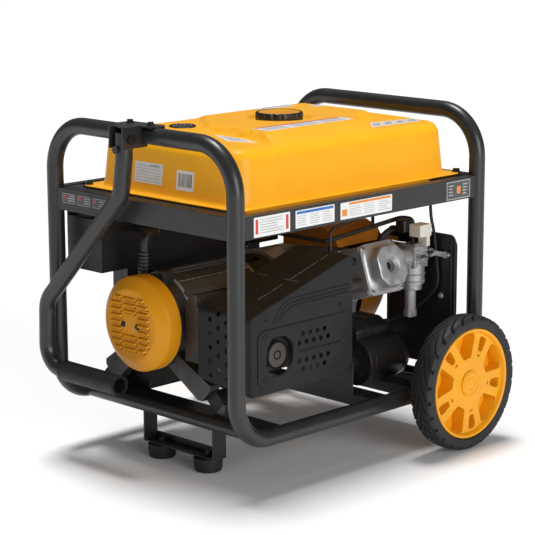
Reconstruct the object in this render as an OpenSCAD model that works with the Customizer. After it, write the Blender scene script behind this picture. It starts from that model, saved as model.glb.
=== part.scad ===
// Open-frame portable generator: tubular steel cradle with two wheels, two rubber feet
// and a fold-down tow handle, a sheet steel fuel tank on top, a single-cylinder engine
// driving an alternator inside, and a control box along the far side.
// +X points to the wheel end, +Z is up, the ground is Z = 0 and the cylinder head faces -Y.

/* [Frame] */
// Distance between the centre planes of the two end hoops
frame_length = 658; // [640:2:690]
// Distance between the centre planes of the two sides
frame_width = 490; // [486:2:500]
// Outside diameter of the frame tube
tube_od = 32; // [28:1:34]
// Wall of the frame tube
tube_wall = 1.8; // [1.2:0.1:3]
// Height of the bottom rail centre line above the ground
rail_z = 106.4; // [104:0.2:110]
// Height of the top bar centre line above the ground
top_bar_z = 638.4; // [638:0.2:650]
// Centre line radius of the hoop's top corners
hoop_corner_r = 88; // [70:2:100]
// Centre line radius of the bend from leg to bottom rail
rail_bend_r = 75; // [60:1:85]
// Height of the sheet steel band under the tank
band_h = 42; // [36:1:46]
// Height of the band's top edge above the ground
band_top = 517; // [512:1:519]
// Distance of the band's outer face from the hoop centre plane
band_out = 9; // [6:0.5:12]

/* [Wheels and feet] */
// Overall tyre diameter
tyre_d = 265; // [250:1:270]
// Tyre width
tyre_w = 48; // [40:1:52]
// Diameter of the wheel's rim at the tyre's bead
rim_d = 215; // [200:1:220]
// Axle diameter
axle_d = 16; // [14:0.5:18]
// Distance of the axle from the middle of the frame towards the wheel end
axle_x = 213.4; // [200:0.2:220]
// Distance of the tyre's outer face from the centre plane
wheel_out_y = 336.5; // [334:0.5:340]
// Rubber foot diameter
foot_d = 56; // [48:1:60]
// Rubber foot height
foot_h = 28; // [24:1:30]
// Distance between the centres of the two feet
foot_pitch = 128; // [120:1:136]

/* [Tow handle] */
// Distance of the handle's plane outside the hoop centre plane
handle_out = 39; // [39:0.5:44]
// Height of the handle's hinge pin above the ground
pivot_z = 634; // [632:0.5:636]
// Diameter of the rubber grip
grip_d = 39; // [36:1:40]
// Hinge pin diameter
pivot_d = 10; // [8:0.5:12]

/* [Fuel tank] */
// Height of the tank's flat top above the ground
tank_top = 637; // [630:1:640]
// Sheet thickness of the tank
tank_wall = 1.6; // [1.2:0.1:2.5]
// Outside diameter of the fuel cap
cap_d = 92; // [84:1:96]

/* [Engine and alternator] */
// Sideways offset of the crankshaft from the centre plane
crank_y = 56; // [54:1:60]
// Height of the crankshaft above the ground
crank_z = 273; // [272:1:276]
// Outside radius of the alternator's end cover
cover_r = 91; // [86:1:92]
// Outside radius of the stator
stator_r = 88; // [84:1:90]
// Upward tilt of the cylinder
cylinder_tilt = 18.5; // [17:0.5:20]
// Crankshaft diameter
shaft_d = 30; // [26:1:34]

/* [Hidden] */
$fn = 64;

tube_r = tube_od / 2;
half_l = frame_length / 2;
half_w = frame_width / 2;
handle_x = -half_l - handle_out;
lock_out = 6;
overall_x_min = handle_x - max(grip_d / 2, tube_r + lock_out);
overall_x_max = half_l + tube_r;
shift_x = -(overall_x_min + overall_x_max) / 2;
leg_straight = 5;
leg_foot_z = rail_z + rail_bend_r + leg_straight;
weld_gap = 0.2;
band_bottom = band_top - band_h;
sheet = 2;
gap = 0.3;
fit_gap = 0.05;

frame_black = [0.16, 0.16, 0.165];
plastic_black = [0.07, 0.07, 0.075];
yellow = [0.98, 0.62, 0.11];
silver = [0.72, 0.72, 0.74];
dark_steel = [0.22, 0.22, 0.23];
rubber_black = [0.05, 0.05, 0.05];

// ---------- helpers ----------
// The design is drawn about the middle of the frame, then moved so that the origin is
// under the middle of the whole object.
module placed() {
    translate([shift_x, 0, 0]) children();
}

module block(x0, x1, y0, y1, z0, z1) {
    translate([x0, y0, z0]) cube([x1 - x0, y1 - y0, z1 - z0]);
}

module along_x(x, y, z) {
    translate([x, y, z]) rotate([0, 90, 0]) children();
}

module along_y(x, y, z) {
    translate([x, y, z]) rotate([-90, 0, 0]) children();
}

module rod_x(x0, x1, y, z, r) {
    along_x(x0, y, z) cylinder(h = x1 - x0, r = r);
}

module rod_y(x, y0, y1, z, r) {
    along_y(x, y0, z) cylinder(h = y1 - y0, r = r);
}

module rod_z(x, y, z0, z1, r) {
    translate([x, y, z0]) cylinder(h = z1 - z0, r = r);
}

function unit(v) = v / norm(v);
function frame_at(p, u, v, w) = [
    [u[0], v[0], w[0], p[0]],
    [u[1], v[1], w[1], p[1]],
    [u[2], v[2], w[2], p[2]],
    [0, 0, 0, 1]];
function side_of(w) = abs(w[2]) > 0.9 ? [1, 0, 0] : [0, 0, 1];

// Straight round bar from a to b
module straight(a, b, r) {
    if (norm(b - a) > 0.01) {
        w = unit(b - a);
        u = unit(cross(side_of(w), w));
        multmatrix(frame_at(a, u, cross(w, u), w)) cylinder(h = norm(b - a), r = r);
    }
}

function heading(p, i) = unit(p[i + 1] - p[i]);
function turn(p, i) = acos(heading(p, i - 1) * heading(p, i));
function cutback(p, i, bend) = (i == 0 || i == len(p) - 1) ? 0 : bend * tan(turn(p, i) / 2);

// Bend at corner i of path p, a hair thinner than the straights and let into their ends
socket_turn = 1;
socket_slim = 0.1;
module elbow(p, i, bend, r) {
    d1 = heading(p, i - 1);
    d2 = heading(p, i);
    n = unit(d2 - (d1 * d2) * d1);
    centre = p[i] - d1 * cutback(p, i, bend) + n * bend;
    multmatrix(frame_at(centre, -n, d1, cross(-n, d1)))
        rotate([0, 0, -socket_turn]) rotate_extrude(angle = turn(p, i) + 2 * socket_turn)
            translate([bend, 0]) circle(r - socket_slim);
}

// Solid round bar along a path with rounded corners
module bent_rod(p, bend, r) {
    for (i = [0 : len(p) - 2])
        straight(p[i] + heading(p, i) * cutback(p, i, bend),
            p[i + 1] - heading(p, i) * cutback(p, i + 1, bend), r);
    if (len(p) > 2)
        for (i = [1 : len(p) - 2]) elbow(p, i, bend, r);
}

function stretched(p, e) = [for (i = [0 : len(p) - 1])
    i == 0 ? p[0] - heading(p, 0) * e
    : i == len(p) - 1 ? p[i] + heading(p, i - 1) * e : p[i]];

// Hollow tube along the same kind of path
module bent_tube(p, bend, r, wall) {
    difference() {
        bent_rod(p, bend, r);
        bent_rod(stretched(p, 1), bend, r - wall);
    }
}

// Rectangle with round corners, in plan
module round_rect(x0, x1, y0, y1, r) {
    translate([x0 + r, y0]) square([x1 - x0 - 2 * r, y1 - y0]);
    translate([x0, y0 + r]) square([x1 - x0, y1 - y0 - 2 * r]);
    for (x = [x0 + r, x1 - r], y = [y0 + r, y1 - r]) translate([x, y]) circle(r);
}

// Upright plate in the XZ plane between two Y values, drawn from an x-z outline
module wall_y(y0, y1) {
    translate([0, y1, 0]) rotate([90, 0, 0]) linear_extrude(y1 - y0) children();
}

// Upright plate in the YZ plane between two X values, drawn from a y-z outline
module wall_x(x0, x1) {
    translate([x0, 0, 0]) rotate([90, 0, 90]) linear_extrude(x1 - x0) children();
}

// Hexagon bolt head with a washer, standing on its base
module bolt_head(d) {
    cylinder(h = 1.5, r = d);
    translate([0, 0, 1.5]) cylinder(h = 0.65 * d, r = 0.88 * d, $fn = 6);
}

// ---------- frame ----------
module hoop(x) {
    bent_tube([[x, -half_w, leg_foot_z], [x, -half_w, top_bar_z],
        [x, half_w, top_bar_z], [x, half_w, leg_foot_z]], hoop_corner_r, tube_r, tube_wall);
}

module hoop_handle_end() {
    color(frame_black) placed() hoop(-half_l);
}

module hoop_wheel_end() {
    color(frame_black) placed() hoop(half_l);
}

module rail_path(y, r) {
    bent_tube([[-half_l, y, leg_foot_z], [-half_l, y, rail_z],
        [half_l, y, rail_z], [half_l, y, leg_foot_z]], rail_bend_r, r, tube_wall);
}

module side_rails() {
    color(frame_black) placed() {
        rail_path(-half_w, tube_r);
        rail_path(half_w, tube_r);
    }
}

cross_tube_x = 261;
cross_tube_r = 12.7;
channel_top = 118;
channel_h = 22;
channel_a = [-253, -206];
channel_b = [36, 80];
channel_c = [152, 196];
mount_tilt = 45;
mount_near_y = -104;
mount_far_y = 190;
mount_z = 143;
mount_half = 16;
shelf_x = [-206, -84];
shelf_y = [126, 216];
axle_z = tyre_d / 2;
bracket_w = 34;

// Inverted channel across the frame, open underneath
module cross_channel(c) {
    difference() {
        block(c[0], c[1], -half_w, half_w, channel_top - channel_h, channel_top);
        block(c[0] + 3, c[1] - 3, -half_w - 1, half_w + 1, channel_top - channel_h - 1,
            channel_top - 3);
        for (y = [-half_w, half_w])
            rod_x(c[0] - 1, c[1] + 1, y, rail_z, tube_r + weld_gap);
    }
}

module cross_tube(x) {
    difference() {
        rod_y(x, -half_w, half_w, rail_z, cross_tube_r);
        rod_y(x, -half_w - 1, half_w + 1, rail_z, cross_tube_r - tube_wall);
        for (y = [-half_w, half_w], rise = [0, 5, 10])
            rod_x(x - 20, x + 20, y, rail_z + rise, tube_r + weld_gap);
    }
}

// Upright cheek welded on the rail that holds the axle
module axle_cheek(y) {
    difference() {
        wall_y(y - 2, y + 2) {
            translate([axle_x, axle_z]) circle(bracket_w / 2);
            translate([axle_x - bracket_w / 2, rail_z + 8])
                square([bracket_w, axle_z - rail_z - 8]);
        }
        rod_y(axle_x, y - 3, y + 3, axle_z, axle_d / 2);
        rod_x(axle_x - 30, axle_x + 30, sign(y) * half_w, rail_z, tube_r + weld_gap);
    }
}

// Sloping steel shoe that backs a tilted rubber mount
module mount_shoe(y, s) {
    r = mount_half * sqrt(2);
    wall_x(channel_a[0] + 4, channel_a[1] - 4) polygon([
        [y, mount_z - r - 0.2], [y + s * r + s * 0.2, mount_z], [y + s * r + s * 4, mount_z],
        [y + s * r + s * 4, channel_top], [y, channel_top]]);
}

module cross_members() {
    color(frame_black) placed() {
        cross_tube(-cross_tube_x);
        cross_tube(cross_tube_x);
        cross_channel(channel_a);
        cross_channel(channel_b);
        cross_channel(channel_c);
        mount_shoe(mount_near_y, -1);
        mount_shoe(mount_far_y, 1);
        block(shelf_x[0] - 3, shelf_x[1], shelf_y[0], shelf_y[1], channel_top - 2, channel_top);
        block(shelf_x[1] - 2, shelf_x[1], shelf_y[0], shelf_y[1], channel_top - 2,
            channel_top + 16);
        for (s = [-1, 1]) {
            axle_cheek(s * (half_w - 9));
            axle_cheek(s * (half_w + 9));
        }
    }
}

band_lip = 20;
end_lip = 54;
tank_shift_y = -12;
bolt_spots = [for (x = [-292, 303], y = [-202, 202]) [x, y + tank_shift_y]];
bolt_hole_r = 4.5;

// One side of the band: an upright face with lips turned inwards along its top and bottom
module band_long(s) {
    y = s * (half_w + band_out);
    difference() {
        union() {
            block(-half_l, half_l, min(y, y - s * sheet), max(y, y - s * sheet), band_bottom,
                band_top);
            block(-half_l, half_l, min(y, y - s * band_lip), max(y, y - s * band_lip),
                band_top - sheet, band_top);
            block(-half_l, half_l, min(y, y - s * 14), max(y, y - s * 14), band_bottom,
                band_bottom + sheet);
        }
        for (x = [-half_l, half_l])
            rod_z(x, s * half_w, band_bottom - 1, band_top + 1, tube_r);
    }
}

module band_end(s) {
    x = s * (half_l + band_out);
    difference() {
        union() {
            block(min(x, x - s * sheet), max(x, x - s * sheet), -half_w, half_w, band_bottom,
                band_top);
            block(min(x, x - s * end_lip), max(x, x - s * end_lip), -half_w + band_lip,
                half_w - band_lip, band_top - sheet, band_top);
            block(min(x, x - s * 14), max(x, x - s * 14), -half_w, half_w, band_bottom,
                band_bottom + sheet);
        }
        for (y = [-half_w, half_w])
            rod_z(s * half_l, y, band_bottom - 1, band_top + 1, tube_r);
        for (b = bolt_spots) rod_z(b[0], b[1], band_top - 5, band_top + 1, bolt_hole_r);
    }
}

module tank_band() {
    color(frame_black) placed() {
        band_long(-1);
        band_long(1);
        band_end(-1);
        band_end(1);
    }
}

foot_x = (channel_a[0] + channel_a[1]) / 2;
foot_plate_w = 36.6;
foot_half = 97;
foot_plate_t = 3;

module foot_bracket() {
    x0 = foot_x - foot_plate_w / 2;
    x1 = foot_x + foot_plate_w / 2 - 3;
    color(frame_black) placed() difference() {
        union() {
            block(x0, x1, -foot_half, foot_half, foot_h, foot_h + foot_plate_t);
            for (s = [-1, 1])
                block(x0, x1, min(s * foot_half, s * (foot_half - foot_plate_t)),
                    max(s * foot_half, s * (foot_half - foot_plate_t)), foot_h,
                    channel_top - 3);
            block(x1 - foot_plate_t, x1, -foot_half, foot_half, foot_h, foot_h + 14);
        }
        for (s = [-1, 1])
            rod_z(foot_x, s * foot_pitch / 2, foot_h - 1, foot_h + 5, 5.2);
    }
}

module rubber_feet() {
    color(rubber_black) placed() for (s = [-1, 1])
        translate([foot_x, s * foot_pitch / 2, 0]) difference() {
            rotate_extrude() polygon([[0, 0], [foot_d / 2 - 5, 0], [foot_d / 2 - 2, 3],
                [foot_d / 2, foot_h - 4], [foot_d / 2 - 1, foot_h], [0, foot_h]]);
            translate([0, 0, -1]) cylinder(h = 9, r = 9);
            translate([0, 0, 7]) cylinder(h = foot_h, r = 5.2);
        }
}

// ---------- axle and wheels ----------
hub_r = 24;
bore_r = axle_d / 2 + fit_gap;
wheel_in_y = wheel_out_y - tyre_w;
hub_in_y = wheel_in_y - 4;
axle_end_y = wheel_out_y - 14;

module axle() {
    color(silver) placed() {
        rod_y(axle_x, -axle_end_y, axle_end_y, axle_z, axle_d / 2);
        for (s = [-1, 1]) {
            difference() {
                rod_y(axle_x, min(s * (hub_in_y - 1), s * (hub_in_y - 4)),
                    max(s * (hub_in_y - 1), s * (hub_in_y - 4)), axle_z, 15);
                rod_y(axle_x, -400, 400, axle_z, axle_d / 2 - 1);
            }
        }
    }
}

// Tyre cross-section, radius against distance from the middle of the wheel
module tyre_profile() {
    r = tyre_d / 2;
    b = rim_d / 2;
    w = tyre_w / 2;
    polygon([[b, -w + 3], [b + 4, -w + 0.5], [r - 10, -w], [r - 3, -w + 3], [r, -w + 11],
        [r, w - 11], [r - 3, w - 3], [r - 10, w], [b + 4, w - 0.5], [b, w - 3]]);
}

tread_count = 30;

module tyre() {
    difference() {
        rotate_extrude($fn = 96) tyre_profile();
        for (i = [0 : tread_count - 1], s = [-1, 1])
            rotate([0, 0, 360 / tread_count * (i + (s > 0 ? 0 : 0.5))])
                translate([tyre_d / 2 - 4, -1.6, s > 0 ? 10 : -tyre_w / 2 - 1])
                    cube([8, 3.2, tyre_w / 2 - 9]);
    }
}

spoke_count = 5;

// Rim window between two radii and half-angle, tapering towards the hub
module rim_window(r0, r1, half0, half1) {
    translate([0, 0, -40]) linear_extrude(80) polygon([
        [r0 * cos(half0), -r0 * sin(half0)], [r1 * cos(half1), -r1 * sin(half1)],
        [r1, 0], [r1 * cos(half1), r1 * sin(half1)], [r0 * cos(half0), r0 * sin(half0)]]);
}

pocket_z = -22;
pocket_t = 3;

// Rim with its dished spoked face, a floor behind the windows, hub and cap; local +Z is outward
module rim() {
    w = tyre_w / 2;
    b = rim_d / 2 - 0.05;
    difference() {
        union() {
            difference() {
                rotate_extrude($fn = 96) polygon([[b, -w + 3], [b, w - 2], [b - 3, w - 1],
                    [b - 7, w - 3], [b - 7, -w + 3]]);
            }
            difference() {
                rotate_extrude($fn = 96) polygon([[bore_r, -2], [b - 5, 2], [b - 5, 9],
                    [60, 14], [30, w - 5], [bore_r, w - 5]]);
                for (i = [0 : spoke_count - 1]) {
                    rotate([0, 0, 72 * i + 90]) rim_window(52, b - 10, 14, 19);
                    rotate([0, 0, 72 * i + 126]) rim_window(70, b - 12, 4.5, 5.5);
                }
            }
            rotate_extrude($fn = 96) polygon([[bore_r, pocket_z - 2], [b - 4, pocket_z],
                [b - 4, pocket_z + pocket_t], [bore_r, pocket_z + pocket_t]]);
            translate([0, 0, -w - 4]) cylinder(h = w + 6, r = hub_r);
        }
        translate([0, 0, -60]) cylinder(h = 120, r = bore_r);
        translate([0, 0, w - 13]) cylinder(h = 20, r = 21);
    }
}

module hub_cap() {
    w = tyre_w / 2;
    difference() {
        union() {
            translate([0, 0, w - 9]) cylinder(h = 4, r = 20.9);
            translate([0, 0, w - 5]) cylinder(h = 3, r = 25);
        }
        translate([0, 0, w - 3]) difference() {
            cylinder(h = 2, r = 19);
            translate([0, 0, -1]) cylinder(h = 4, r = 15);
        }
    }
}

module at_wheel(s) {
    translate([axle_x, s * (wheel_out_y - tyre_w / 2), axle_z]) rotate([s * -90, 0, 0])
        children();
}

module tyre_left() {
    color(rubber_black) placed() at_wheel(-1) tyre();
}

module rim_left() {
    color(yellow) placed() at_wheel(-1) {
        rim();
        hub_cap();
    }
}

module tyre_right() {
    color(rubber_black) placed() at_wheel(1) tyre();
}

module rim_right() {
    color(yellow) placed() at_wheel(1) {
        rim();
        hub_cap();
    }
}

// ---------- tow handle ----------
handle_bend_r = 44;
grip_z = 174;
grip_len = 180;
grip_end_y = 24;
handle_knee_y = 10;
handle_low_y = 234;
ear_gap = 2 * tube_r + 0.8;
ear_t = 3;
ear_out = ear_gap / 2 + ear_t;
bracket_top = top_bar_z + tube_r;
pin_head_h = 4;
lock_r = 7;
lock_z = pivot_z - 18;

handle_path = [[handle_x, 0, pivot_z + 12], [handle_x, 0, 604],
    [handle_x, handle_knee_y, 531],
    [handle_x, handle_low_y - 4, 303], [handle_x, handle_low_y, grip_z],
    [handle_x, grip_end_y, grip_z]];

module handle_tube() {
    color(frame_black) placed() difference() {
        bent_tube(handle_path, handle_bend_r, tube_r, tube_wall);
        rod_y(handle_x, -40, 40, pivot_z, pivot_d / 2 + fit_gap);
        rod_x(handle_x - 30, handle_x, 0, lock_z, lock_r - 2);
    }
}

module handle_grip() {
    color(rubber_black) placed() difference() {
        rod_y(handle_x, grip_end_y - 1, grip_end_y + grip_len - 22, grip_z, grip_d / 2);
        rod_y(handle_x, grip_end_y - 10, grip_end_y + grip_len, grip_z, tube_r);
    }
}

ear_x0 = handle_x - 19;
saddle_y = 46;

module handle_bracket() {
    color(frame_black) placed() difference() {
        union() {
            for (s = [-1, 1])
                block(ear_x0, -half_l, min(s * ear_gap / 2, s * ear_out),
                    max(s * ear_gap / 2, s * ear_out), pivot_z - 16, bracket_top + 3);
            block(handle_x - 9, -half_l + 18, -ear_out, ear_out, bracket_top,
                bracket_top + 3);
            block(-half_l - 18, -half_l + 18, -saddle_y, saddle_y, bracket_top,
                bracket_top + 3);
            block(-half_l + tube_r + 0.1, -half_l + tube_r + 3, -saddle_y, saddle_y,
                top_bar_z - 14, bracket_top + 3);
        }
        rod_y(-half_l, -100, 100, top_bar_z, tube_r);
        rod_y(handle_x, -40, 40, pivot_z, pivot_d / 2);
    }
}

module handle_pivot_pin() {
    color(frame_black) placed() {
        rod_y(handle_x, -ear_out, ear_out, pivot_z, pivot_d / 2);
        rod_y(handle_x, -ear_out - pin_head_h, -ear_out, pivot_z, 9);
        rod_y(handle_x, ear_out, ear_out + pin_head_h, pivot_z, 9);
    }
}

module handle_lock_button() {
    color(plastic_black) placed() {
        rod_x(handle_x - tube_r - lock_out, handle_x - tube_r - 3.5, 0, lock_z, lock_r);
        rod_x(handle_x - tube_r - 3.5, handle_x - pivot_d / 2 - 5, 0, lock_z,
            lock_r - 2 - fit_gap);
    }
}

// ---------- fuel tank ----------
tank_x = [-285, 296];
tank_y = [-208, 182];
flange_x = [-305, 310];
flange_y = [-226, 202];
flange_z = 519.5;
flange_t = 2;
shoulder_z = 616;
cap_x = 27;
cap_y = 0;
cap_seat_z = tank_top - 7;
cap_hole_r = 27;
recess_r = cap_d / 2 + 14;

// Outside of the upper shell shrunk by e all round
module tank_body(e) {
    intersection() {
        wall_y(tank_y[0] - 1, tank_y[1] + 1) polygon([
            [tank_x[0] + e, flange_z - 1], [tank_x[0] + 14 + e, shoulder_z - 5 - e],
            [tank_x[0] + 25 + e, shoulder_z + 3 - e], [tank_x[0] + 105, tank_top - e],
            [tank_x[1] - 44, tank_top - e], [tank_x[1] - 24 - e, shoulder_z + 4 - e],
            [tank_x[1] - 16 - e, shoulder_z - 6 - e], [tank_x[1] - e, flange_z - 1]]);
        wall_x(tank_x[0] - 1, tank_x[1] + 1) polygon([
            [tank_y[0] + e, flange_z - 1], [tank_y[0] + 9 + e, shoulder_z - 4 - e],
            [tank_y[0] + 18 + e, shoulder_z + 4 - e], [tank_y[0] + 88, tank_top - e],
            [tank_y[1] - 60, tank_top - e], [tank_y[1] - 18 - e, shoulder_z + 4 - e],
            [tank_y[1] - 9 - e, shoulder_z - 4 - e], [tank_y[1] - e, flange_z - 1]]);
        translate([0, 0, flange_z - 1]) linear_extrude(200)
            round_rect(tank_x[0] + e, tank_x[1] - e, tank_y[0] + e, tank_y[1] - e, 44);
    }
}

// Upper pressing of the tank with its bolting flange and the filler's recess
module tank_upper() {
    color(yellow) placed() difference() {
        union() {
            tank_body(0);
            translate([0, 0, flange_z]) linear_extrude(flange_t)
                round_rect(flange_x[0], flange_x[1], flange_y[0], flange_y[1], 24);
        }
        difference() {
            tank_body(tank_wall);
            rod_z(cap_x, cap_y, cap_seat_z - 3, tank_top + 5, recess_r + 2);
        }
        translate([0, 0, flange_z - 2]) linear_extrude(4)
            round_rect(tank_x[0] + 5, tank_x[1] - 5, tank_y[0] + 5, tank_y[1] - 5, 40);
        block(tank_x[0] - 30, tank_x[1] + 40, tank_y[0] - 30, tank_y[1] + 30,
            flange_z - 2, flange_z);
        rod_z(cap_x, cap_y, cap_seat_z, tank_top + 5, recess_r);
        rod_z(cap_x, cap_y, cap_seat_z - 10, tank_top + 5, cap_hole_r);
        for (b = bolt_spots) rod_z(b[0], b[1], flange_z - 3, flange_z + 5, bolt_hole_r);
    }
}

belly_x = [-268, 264];
belly_y = [-200, 172];
belly_bottom = 462;

module tank_lower() {
    color(yellow) placed() difference() {
        translate([0, 0, belly_bottom]) linear_extrude(flange_z - belly_bottom)
            round_rect(belly_x[0], belly_x[1], belly_y[0], belly_y[1], 40);
        translate([0, 0, belly_bottom + tank_wall]) linear_extrude(80)
            round_rect(belly_x[0] + tank_wall, belly_x[1] - tank_wall,
                belly_y[0] + tank_wall, belly_y[1] - tank_wall, 40 - tank_wall);
    }
}

cap_h = 17;
cap_post_r = 6;
cap_ribs = 24;
cap_split = tank_top - cap_seat_z + gap;

// Shell of the fuel cap: it turns on the post of the plug below it
module fuel_cap() {
    color(plastic_black) placed() translate([cap_x, cap_y, cap_seat_z + 0.4]) difference() {
        union() {
            translate([0, 0, cap_split]) cylinder(h = cap_h - cap_split, r = cap_d / 2 - 1.5);
            for (i = [0 : cap_ribs - 1]) rotate([0, 0, i * 360 / cap_ribs])
                translate([cap_d / 2 - 3, -2.2, cap_split]) cube([3, 4.4, cap_h - cap_split - 1]);
        }
        translate([0, 0, -1]) cylinder(h = 13, r = cap_d / 2 - 5);
        translate([0, 0, cap_h - 2]) cylinder(h = 3, r = cap_d / 2 - 10);
        translate([0, 0, -1]) cylinder(h = 30, r = cap_post_r + fit_gap);
    }
}

// Plug of the cap: a sealing cup, its collar, the post, and the coloured disc on top
module fuel_cap_stem() {
    color(yellow) placed() translate([cap_x, cap_y, cap_seat_z + 0.4]) {
        translate([0, 0, 6]) cylinder(h = 5.6, r = 33);
        cylinder(h = cap_split - gap, r = cap_d / 2 - 3);
        translate([0, 0, -12]) difference() {
            cylinder(h = 18, r = cap_hole_r - 1.5);
            translate([0, 0, -1]) cylinder(h = 15, r = cap_hole_r - 4);
        }
        translate([0, 0, 11]) cylinder(h = cap_h - 12.6, r = cap_post_r);
        translate([0, 0, cap_h - 1.6]) cylinder(h = 1.8, r = cap_d / 2 - 10.4);
    }
}

gauge_x = -163;
gauge_y = 68;
gauge_top = tank_top + 3;

// Dial type fuel gauge let into the top
module fuel_gauge() {
    color(plastic_black) placed() difference() {
        rod_z(gauge_x, gauge_y, tank_top - 22, gauge_top, 26);
        rod_z(gauge_x, gauge_y, gauge_top - 1.5, gauge_top + 1, 20);
        tank_body(0);
    }
}

// ---------- alternator ----------
cover_x = -312;
cover_depth = 46;
cover_back = cover_x + cover_depth;
bell_back = -236;
stator_x = [-236, -42];
front_bell_x = [-42, 18];
rotor_r = 60;
slot_h = 5;
slot_pitch = 12;

// Dished end cover with louvre slots in three columns
module alternator_cover() {
    r = cover_r;
    color(yellow) placed() difference() {
        along_x(cover_x, crank_y, crank_z) rotate_extrude($fn = 96) polygon([[0, 0],
            [r - 24, 0], [r - 17, 2], [r - 3, 15], [r, 19], [r, cover_depth],
            [r - 3, cover_depth], [r - 3, 20], [r - 6, 17], [r - 19, 5], [r - 25, 3], [0, 3]]);
        for (i = [0 : 8], s = [-1, 1])
            block(cover_x - 1, cover_x + 4, crank_y + s * 38 - 13, crank_y + s * 38 + 13,
                crank_z - 50 + i * slot_pitch, crank_z - 50 + i * slot_pitch + slot_h);
        for (i = [-4, -3, -2, 2, 3, 4])
            block(cover_x - 1, cover_x + 4, crank_y - 17, crank_y + 17,
                crank_z + i * slot_pitch - slot_h / 2, crank_z + i * slot_pitch + slot_h / 2);
        for (s = [-1, 1])
            rod_x(cover_x - 1, cover_x + 4, crank_y + s * 20, crank_z, 3.2);
    }
}

// Arm of the rear casting, running down to the slanted face of a rubber mount
module bell_arm(x0, x1, y, s) {
    r = mount_half * sqrt(2);
    root = crank_y + s * 34;
    wall_x(x0, x1) polygon([[root, crank_z - 72], [crank_y + s * 66, crank_z - 50],
        [y - s * 0.2, mount_z + r + 10], [y - s * 0.2, mount_z + r + 0.2],
        [y - s * r - s * 0.2, mount_z], [y - s * r - s * 12, mount_z]]);
}

bell_bolt_y = crank_y - 27;
bell_bolt_z = crank_z + 92;

module rear_bell() {
    difference() {
        union() {
            rod_x(cover_back + 0.2, bell_back, crank_y, crank_z, cover_r - 4);
            bell_arm(cover_back + 6, bell_back, mount_near_y, -1);
            bell_arm(cover_back + 6, bell_back, mount_far_y, 1);
            block(cover_back + 4, bell_back, crank_y - 40, crank_y - 14, crank_z + 70,
                crank_z + 100);
        }
        rod_x(cover_back - 1, cover_back + 20, crank_y, crank_z, cover_r - 12);
        rod_x(cover_back - 1, bell_back + 1, crank_y, crank_z, shaft_d / 2 + fit_gap);
        rod_x(cover_back - 1, bell_back + 1, bell_bolt_y, bell_bolt_z, 3);
        for (a = [0 : 60 : 300]) rod_x(cover_back, bell_back + 1,
            crank_y + 56 * cos(a), crank_z + 56 * sin(a), 13);
    }
}

module front_bell() {
    difference() {
        rod_x(front_bell_x[0], front_bell_x[1], crank_y, crank_z, cover_r - 2);
        rod_x(front_bell_x[0] - 1, front_bell_x[1] - 8, crank_y, crank_z, cover_r - 9);
        rod_x(front_bell_x[0] - 1, front_bell_x[1] + 1, crank_y, crank_z, 34);
        for (a = [15 : 30 : 345]) translate([0, crank_y, crank_z]) rotate([a, 0, 0])
            block(front_bell_x[0] + 12, front_bell_x[1] - 16, -9, 9, 60, 120);
    }
}

module alternator_bells() {
    color(silver) placed() {
        rear_bell();
        front_bell();
    }
}

module stator() {
    color(dark_steel) placed() difference() {
        union() {
            rod_x(stator_x[0], stator_x[1], crank_y, crank_z, stator_r);
            for (a = [-50, 0, 50, 130, 180, 230]) translate([0, crank_y, crank_z])
                rotate([a, 0, 0]) block(stator_x[0], stator_x[1], -5, 5, stator_r - 4,
                    stator_r + 5);
        }
        rod_x(stator_x[0] - 1, stator_x[1] + 1, crank_y, crank_z, rotor_r + 2);
    }
}

shaft_x = [-262, 284];
rotor_x = [-212, -76];
fan_x = -30;
fan_r = 76;
web_x = [108, 126, 166, 184];

// Crankshaft with the alternator's rotor, its cooling fan and the crank webs
module crankshaft() {
    color(dark_steel) placed() {
        rod_x(shaft_x[0], shaft_x[1], crank_y, crank_z, shaft_d / 2);
        rod_x(rotor_x[0], rotor_x[1], crank_y, crank_z, rotor_r);
        rod_x(fan_x, fan_x + 5, crank_y, crank_z, fan_r);
        for (a = [0 : 45 : 315]) translate([0, crank_y, crank_z]) rotate([a, 0, 0])
            block(fan_x + 4, fan_x + 16, -1.5, 1.5, 36, fan_r - 2);
        rod_x(web_x[0], web_x[1], crank_y, crank_z, 44);
        rod_x(web_x[2], web_x[3], crank_y, crank_z, 44);
    }
}

fly_x = [228, 242];
fly_blades = 16;

module flywheel() {
    color(dark_steel) placed() difference() {
        union() {
            rod_x(fly_x[0], fly_x[1], crank_y, crank_z, 92);
            rod_x(fly_x[0], fly_x[1] + 14, crank_y, crank_z, 36);
            for (i = [0 : fly_blades - 1]) translate([0, crank_y, crank_z])
                rotate([i * 360 / fly_blades, 0, 0])
                    block(fly_x[1] - 1, fly_x[1] + 16, -1.5, 1.5, 55, 90);
        }
        rod_x(fly_x[0] - 1, fly_x[1] + 20, crank_y, crank_z, shaft_d / 2);
    }
}

// ---------- engine ----------
cyl_x = 146;
cyl_r = 46;
bore_cyl_r = 30;
case_x = [18, 214];
case_z0 = 168;
deck = 92;
head_d = [192, 226];
mount_x = [58, 174];
mount_dy = 78;
stick_x = case_x[0] + 26;
stick_y = crank_y + 70;
stick_r = 6;

// Local +Z runs out along the cylinder from the crankshaft
module tilted() {
    translate([cyl_x, crank_y, crank_z]) rotate([90 - cylinder_tilt, 0, 0]) children();
}

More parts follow.
